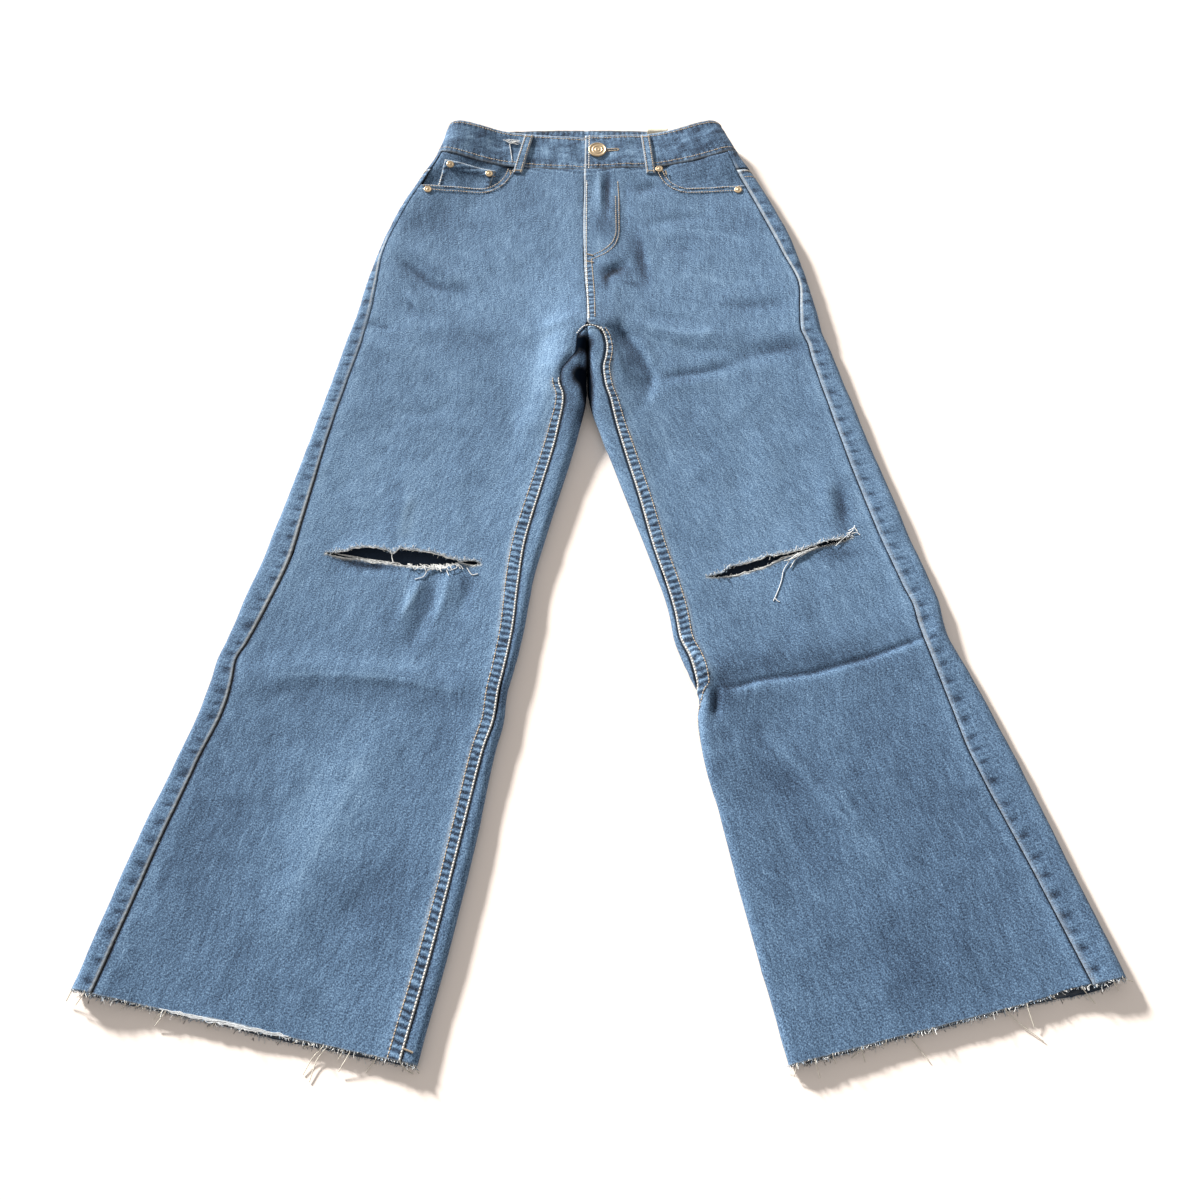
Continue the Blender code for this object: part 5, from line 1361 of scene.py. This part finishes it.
sewn, given, out, curve = growth("row_of_stitches", Pitch="Float", Length="Float", Width="Float", Height="Float")
bead = step(sewn, "GeometryNodeMeshIcoSphere", {"Radius": 0.5, "Subdivisions": 1})[0]
size = step(sewn, "ShaderNodeCombineXYZ", {"X": given["Length"], "Y": given["Width"], "Z": given["Height"]})[0]
size = step(sewn, "ShaderNodeVectorMath", {0: size, 3: random_number(sewn, 0.85, 1.15, 3)}, operation="SCALE")[0]
stitches = on_points(sewn, given, curve, "Pitch", bead, step(sewn, "GeometryNodeInputTangent", {})[0],
                     named_vector(sewn, "up"), size)
finished(sewn, stitches, given, out)


def grown(name, lines, tree, **values):
    """A piece grown by a tree from lines of (points in millimetres, outward ways[, ways off the edge])."""
    mesh = bpy.data.meshes.new(name + "_lines")
    corners = np.concatenate([line[0] for line in lines])
    edges, first = [], 0
    for line in lines:
        edges += [(first + i, first + i + 1) for i in range(len(line[0]) - 1)]
        first += len(line[0])
    mesh.from_pydata((corners * MM).tolist(), edges, [])
    for index, label in ((1, "up"), (2, "off")):
        ways = np.concatenate([line[index] if len(line) > index else np.zeros_like(line[0]) for line in lines])
        attribute = mesh.attributes.new(label, "FLOAT_VECTOR", "POINT")
        attribute.data.foreach_set("vector", ways.ravel().astype(np.float32))
    source = placed(name + "_lines", mesh)
    modifier = source.modifiers.new("grow", "NODES")
    modifier.node_group = tree
    for item in tree.interface.items_tree:
        if item.in_out == "INPUT" and item.name in values:
            modifier[item.identifier] = values[item.name]
    result = bpy.data.meshes.new_from_object(source.evaluated_get(bpy.context.evaluated_depsgraph_get()))
    result.name = name
    places = np.empty(3 * len(result.vertices), np.float32)
    result.vertices.foreach_get("co", places)
    places[2::3] = np.maximum(places[2::3], TABLE_CLEAR * MM)
    result.vertices.foreach_set("co", places)
    bpy.data.objects.remove(source)
    piece = placed(name, result)
    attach(piece, "root")


def thread_look(name, dark, light):
    look, _, shader, _ = speckled(name, 0.8, (420, 420, 420), dark, light)
    shader["Sheen Weight"].default_value = 0.15
    return look


tan_thread = thread_look("tan_thread", (0.30, 0.235, 0.16), (0.60, 0.49, 0.365))
pale_thread = thread_look("pale_thread", (0.56, 0.53, 0.48), (0.88, 0.85, 0.79))


def curved(points, count):
    """This many places along a smooth line through given points, for each of their coordinates."""
    points = np.array(points, float)
    knots = np.arange(len(points), dtype=float)
    return [smooth(knots, column, np.linspace(0, len(points) - 1, count)) for column in points.T]


def row_through(points, lift=0.45, count=60):
    """A line on the front's cloth, through given (x, down) points."""
    return laid(*curved(points, count), lift)


def mouth_row(half, inset):
    """A row of stitches along a pocket mouth, this far from its edge."""
    mouth = MOUTHS[half.name]
    turn = np.linspace(0.28, math.pi / 2, 26)
    centre = mouth.x_inner + half.sign * mouth.width
    x = centre - half.sign * (mouth.width + inset) * np.cos(turn)
    here = mouth.down_inner + (mouth.depth + inset) * np.sin(turn)
    side = half.value("x_in", 104) + half.sign * (half.value("width", 104) - half.value("seam_out", 104) - 3)
    x = np.append(x, np.linspace(centre, side, 16)[1:])
    here = np.append(here, np.full(15, MOUTH_END + inset))
    lying = here > WAIST_SEAM + 1.5
    down, around = half.find(x[lying], here[lying])
    return half.cloth(down, around, 0.75)


tan_rows = loop_rows + pocket_rows["left"] + pocket_rows["right"]
tan_rows += [(band_face[line, 16:], band_way[line, 16:]) for line in (4, -5)]
pale_rows = [(band_face[2:-2, -5], band_way[2:-2, -5])]
for half in (LEFT, RIGHT):
    tan_rows += [mouth_row(half, 1.9), mouth_row(half, 7.2)]
    legs = np.arange(374 if half is LEFT else CROTCH + 4, HEM - 1, 4)
    seam = half.value("inseam", legs) + half.value("room", legs)
    pale_rows.append(half.cloth(legs, seam + 1.3, 0.45))
    tan_rows.append(half.cloth(legs, seam + felled(legs) - 1.6, 0.5))
    if half is LEFT:
        seat = np.arange(150, 262, 4)
        tan_rows += [half.cloth(seat, half.value("seat", seat) - inset, 0.1) for inset in (2, 8)]
    for inset in (2.2, 8.2):
        downs = yoke_line(half) + inset
        tan_rows.append(half.cloth(downs[3:], own(back_spread, half, downs)[3:], 0.1))
tan_rows += [row_through(((20.5, 90), (21.5, 120), (21.5, 160), (18, 180), (8, 194), (-9, 205))),
             row_through(((17.8, 112), (18.2, 160), (15, 177), (5, 190), (-8, 199))),
             row_through(((-9.5, 206), (-7.5, 235), (-6, 262), (-5.5, 293)), 0.6),
             row_through(((-178, 65.5), (-121.5, 74.5)), -1.2, 20),
             row_through(((-179, 71.5), (-122, 80.5)), -1.2, 20)]
pale_rows += [row_through(((-15.2, 73), (-15.4, 140), (-15.2, 200), (-13.6, 250), (-11.8, 296)), 0.75, 90),
              row_through(((-177.6, 66), (-185, 100)), -1.25, 12),
              row_through(((-24, 317), (-20, 311), (-14.6, 307), (-9, 306.3), (-3, 307.5), (3, 312), (6.5, 320)),
                          0.9, 30)]
for name, lines, look, width in (("tan_stitches", tan_rows, tan_thread, 0.0013),
                                 ("pale_stitches", pale_rows, pale_thread, 0.0016)):
    grown(name, lines, sewn, Pitch=0.0030, Length=0.0031, Width=width, Height=0.0008, Material=look)

bars = loop_bars + [row_through(ends, lift, 8) for ends, lift in (
    (((-15.5, 197), (-8, 200)), 0.9), (((-15, 209), (-7.5, 210)), 0.9), (((-104, 73), (-103, 79)), 1),
    (((76, 73), (77, 79)), 1), (((-150, 1039), (-161, 1035)), 0.9))]
slot_u = np.concatenate([np.linspace(SLOT_FAR + 1, SLOT_NEAR, 30), np.linspace(SLOT_NEAR, SLOT_FAR + 1, 30)])
slot_side = np.repeat([-1, 1], 30)
slot_down = SLOT_DOWN + slot_side * (slot_half(slot_u) + 0.6) * (1 - near(slot_u, SLOT_FAR + 1.2, 0.6))
bars.append(RIGHT.cloth(slot_down, RIGHT.way_in(slot_down, slot_u), BAND_PROUD + FLAP_LIFT + 0.2))
grown("bar_tacks", bars, sewn, Pitch=0.00055, Length=0.0007, Width=0.0019, Height=0.0011, Material=tan_thread)
teeth = laid(np.full(60, 3), np.linspace(74, 204, 60), 0.1 - UNDER_LAYER)
grown("zip_teeth", [teeth], sewn, Pitch=0.0021, Length=0.0012, Width=0.0042, Height=0.0007, Material=brass_look)

# ---- The frayed edges ----------------------------------------------------------------------------------------
# White weft and blue warp ends stand off the raw hems and the torn knees: short fuzz all along, and a
# few long threads that have worked loose and hang from the edge or lie on the table.
fringe, given, out, curve = growth("fringe", Spacing="Float", Shortest="Float", Longest="Float")
shift = random_way(fringe, 0.0005, 1)
bend = step(fringe, "GeometryNodeCurveQuadraticBezier", {"Resolution": 4, "Start": (0, 0, 0),
                                                         "Middle": (0.5, 0.22, 0.10), "End": (1, -0.12, -0.06)})[0]
round_end = step(fringe, "GeometryNodeCurvePrimitiveCircle", {"Resolution": 3, "Radius": 0.07}, mode="RADIUS")[0]
fibre = step(fringe, "GeometryNodeCurveToMesh", {"Curve": bend, "Profile Curve": round_end})[0]
way = step(fringe, "ShaderNodeVectorMath", {0: named_vector(fringe, "off"), 1: random_way(fringe, 0.95, 2)},
           operation="ADD")[0]
skewed = step(fringe, "ShaderNodeMath", {0: random_number(fringe, 0, 1, 5), 1: 3}, operation="POWER")[0]
reach = step(fringe, "ShaderNodeMapRange", {"Value": skewed, "To Min": given["Shortest"],
                                            "To Max": given["Longest"]})[0]
thick = random_number(fringe, 0.0022, 0.0044, 6)
size = step(fringe, "ShaderNodeCombineXYZ", {"X": reach, "Y": thick, "Z": thick})[0]
finished(fringe, on_points(fringe, given, curve, "Spacing", fibre, way, random_way(fringe, 1, 4), size, shift),
         given, out)

strand, given, out, curve = growth("strand", Thickness="Float")
round_end = step(strand, "GeometryNodeCurvePrimitiveCircle", {"Resolution": 5, "Radius": given["Thickness"]},
                 mode="RADIUS")[0]
tube = step(strand, "GeometryNodeCurveToMesh", {"Curve": curve, "Profile Curve": round_end, "Fill Caps": True})[0]
finished(strand, tube, given, out)

white_fibre = thread_look("white_weft_fibre", (0.66, 0.67, 0.66), (0.95, 0.95, 0.93))
blue_fibre = thread_look("blue_warp_fibre", (0.20, 0.30, 0.43), (0.48, 0.58, 0.68))
bare_weft = thread_look("bare_weft", (0.50, 0.53, 0.56), (0.82, 0.84, 0.85))
loose_thread = thread_look("loose_raw_thread", (0.50, 0.46, 0.39), (0.80, 0.76, 0.67))


def off_edge(line, way):
    """The line with the way that its fibres stand off the edge."""
    return line[0], line[1], np.tile(np.array(way, float), (len(line[0]), 1))


hem_lines = [off_edge(line, (0, -1, -0.15)) for line in hems.values()]
upper_lips = [off_edge(lips[0], (0, 0.5, 0.6)) for lips in torn_lips.values()]
lower_lips = [off_edge(lips[1], (0, 0.2, 0.5)) for lips in torn_lips.values()]
for name, lines, spacing, shortest, longest, look in (
        ("hem_fuzz_white", hem_lines, 0.0016, 0.0014, 0.0062, white_fibre),
        ("hem_fuzz_blue", hem_lines, 0.0020, 0.0016, 0.0038, blue_fibre),
        ("upper_lip_fuzz", upper_lips, 0.0005, 0.0014, 0.0058, white_fibre),
        ("upper_lip_fuzz_blue", upper_lips, 0.0004, 0.0014, 0.0042, blue_fibre),
        ("lower_lip_fuzz", lower_lips, 0.0006, 0.0010, 0.0034, white_fibre)):
    grown(name, lines, fringe, Spacing=spacing, Shortest=shortest, Longest=longest, Material=look)


def upright(line):
    """The line with an upward way at each of its points."""
    return line, np.tile([0, 0, 1], (len(line), 1))


# Each loose thread leaves the hem at x and runs through these places, as (across, towards the viewer).
HEM_THREADS = [
    (-444, (-5, -8)), (-430, (-9, -9)), (-393, (-6, -6)), (-382, (-6, -1)), (-375, (-6, -3)), (-363, (-8, -7)),
    (-358, (-9, -11)), (-345, (-8, -3)), (-318, (-7, -5)), (-252, (-5, -2)), (-237, (-9, -2)),
    (-228, (-9, -9), (-16, -22)), (-227, (-8, -10), (-13, -27)), (-212, (-5, -7)), (-206, (-9, -15)),
    (-185, (-5, -6), (-9, -11)), (-160, (4, -6), (10, -9)), (-156, (5, -2), (9, -7)),
    (161, (-2, -9)), (176, (4, -14)), (193, (3, -7)), (216, (-8, -8)), (217, (3, -11)), (235, (-1, -4)),
    (254, (5, -4), (17, -20)), (262, (-4, -5)), (275, (2, -5)), (336, (9, -9), (30, -25)), (353, (5, -18)),
    (355, (3, -12)), (379, (6, -2)), (402, (11, -13)), (429, (6, -7)), (438, (11, -2)),
]
edge_points = np.concatenate([line[0] for line in hems.values()])
loose = []
for x, *reaches in HEM_THREADS:
    close = edge_points[np.abs(edge_points[:, 0] - x) < 3]
    start = close[np.argmax(close[:, 2])]
    path = [start + (0, 1.5, 0), start + (0, -0.5, 0.2)]
    for i, (across, towards) in enumerate(reaches):
        path.append((start[0] + across, start[1] + towards, max(0.5, start[2] * (0.1 if i else 0.35))))
    loose.append(upright(np.stack(curved(path, 14), axis=-1)))
# On the left hem a lens of bare white weft runs along the front's edge.
front_hem = hems["left"][0]
front_hem = front_hem[np.argsort(front_hem[:, 0])]
rng = np.random.default_rng(97)
bare = []
for drop in np.arange(-1.7, 0.9, 0.52):
    reach = 46 * math.sqrt(1 - (drop / 2.6) ** 2)
    x = np.linspace(LENS_X - reach + rng.uniform(-12, 12), LENS_X + reach + rng.uniform(-12, 12), 60)
    y, z = (np.interp(x, front_hem[:, 0], front_hem[:, i]) for i in (1, 2))
    wave = 0.5 * ripple(x, 9 * drop + 0 * x, 8, 98)
    bare.append(upright(np.stack([x, y - drop + wave, z + 0.5 - 0.15 * drop], axis=-1)))
grown("hem_bare_weft", bare, strand, Thickness=0.00040, Material=bare_weft)
grown("hem_threads", loose, strand, Thickness=0.00044, Material=loose_thread)

# Threads lie along both rips' lips and hang from them, and a small tuft stands on the band.
torn = []
for (upper, lower), seed in zip(torn_lips.values(), (91, 92)):
    rng = np.random.default_rng(seed)
    for line, ways, rises in ((lower[0], lower[1], (0.2, 0.7, 1.1, 1.5)), (upper[0], upper[1], (0.1, 0.5))):
        for rise in rises:
            first = rng.integers(0, len(line) // 3)
            last = rng.integers(len(line) * 2 // 3, len(line))
            t = np.linspace(first, last - 1, 60)
            path = np.stack([np.interp(t, np.arange(len(line)), line[:, i]) for i in range(3)], axis=-1)
            wave = ripple(t * 1.4, t * 0 + rise * 9, 9, seed + int(rise * 10))
            path += np.stack([0 * t, 0.9 * wave + rise - 0.8, 0.5 * np.abs(wave) + 0.3 * rise], axis=-1)
            torn.append(upright(path))
for i in range(44):
    x = rng.uniform(-190, -138)
    start = 588 + rng.uniform(-2.5, 0.5)
    slide, fall = rng.uniform(-8, 8), rng.uniform(1, 4) + 5 * rng.uniform() ** 4
    torn.append(row_through(((x, start), (x + 0.4 * slide + 2, start + 0.5 * fall), (x + slide, start + fall)),
                            rng.uniform(0.4, 1.8), 10))
for lift, count, *path in (
        (-3, 18, (-262, 572), (-245, 575), (-226, 579), (-206, 582)),
        (-3.4, 18, (-258, 573), (-240, 577), (-220, 581)),
        (1.4, 18, (206, 571), (198, 574), (190, 578), (183, 583)),
        (1, 18, (210, 569), (200, 572), (192, 576), (184, 584)),
        (1.7, 18, (203, 573), (195, 577), (187, 581), (180, 583)), (0.8, 18, (214, 567), (205, 572), (196, 578)),
        (1.2, 18, (246, 549), (252, 546), (255, 550)), (1, 18, (249, 552), (254, 551), (257, 554)),
        (1, 18, (244, 552), (250, 549), (253, 543)),
        (0.6, 18, (185, 583), (179, 593), (176, 605), (170, 620), (167, 626)),
        (0.6, 18, (169, 623), (171, 626), (173, 627)), (0.8, 18, (196, 576), (190, 583), (186, 590)),
        (1.6, 18, (-203, 569), (-204, 577), (-202, 585)), (1, 18, (232, 566), (240, 558), (250, 549)),
        (0.6, 18, (-168, 592), (-172, 600), (-180, 603)), (0.6, 18, (-150, 592), (-147, 599)),
        (0.6, 18, (-130, 590), (-124, 598), (-119, 597)), (1.6, 12, (-114, 29), (-106, 31), (-98, 33)),
        (1.4, 14, (-106, 32), (-104, 45), (-102, 59)), (2, 12, (-110, 31), (-104, 34), (-99, 31))):
    torn.append(row_through(path, lift, count))
for _ in range(9):
    x, start, fall = rng.uniform(-112, -101), rng.uniform(27, 34), rng.uniform(-2, 3)
    path = ((x, start), (x + 5, start + fall), (x + rng.uniform(7, 12), start + 1.5 * fall))
    torn.append(row_through(path, rng.uniform(1.2, 2.4), 8))
grown("torn_threads", torn, strand, Thickness=0.00040, Material=white_fibre)

low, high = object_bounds()
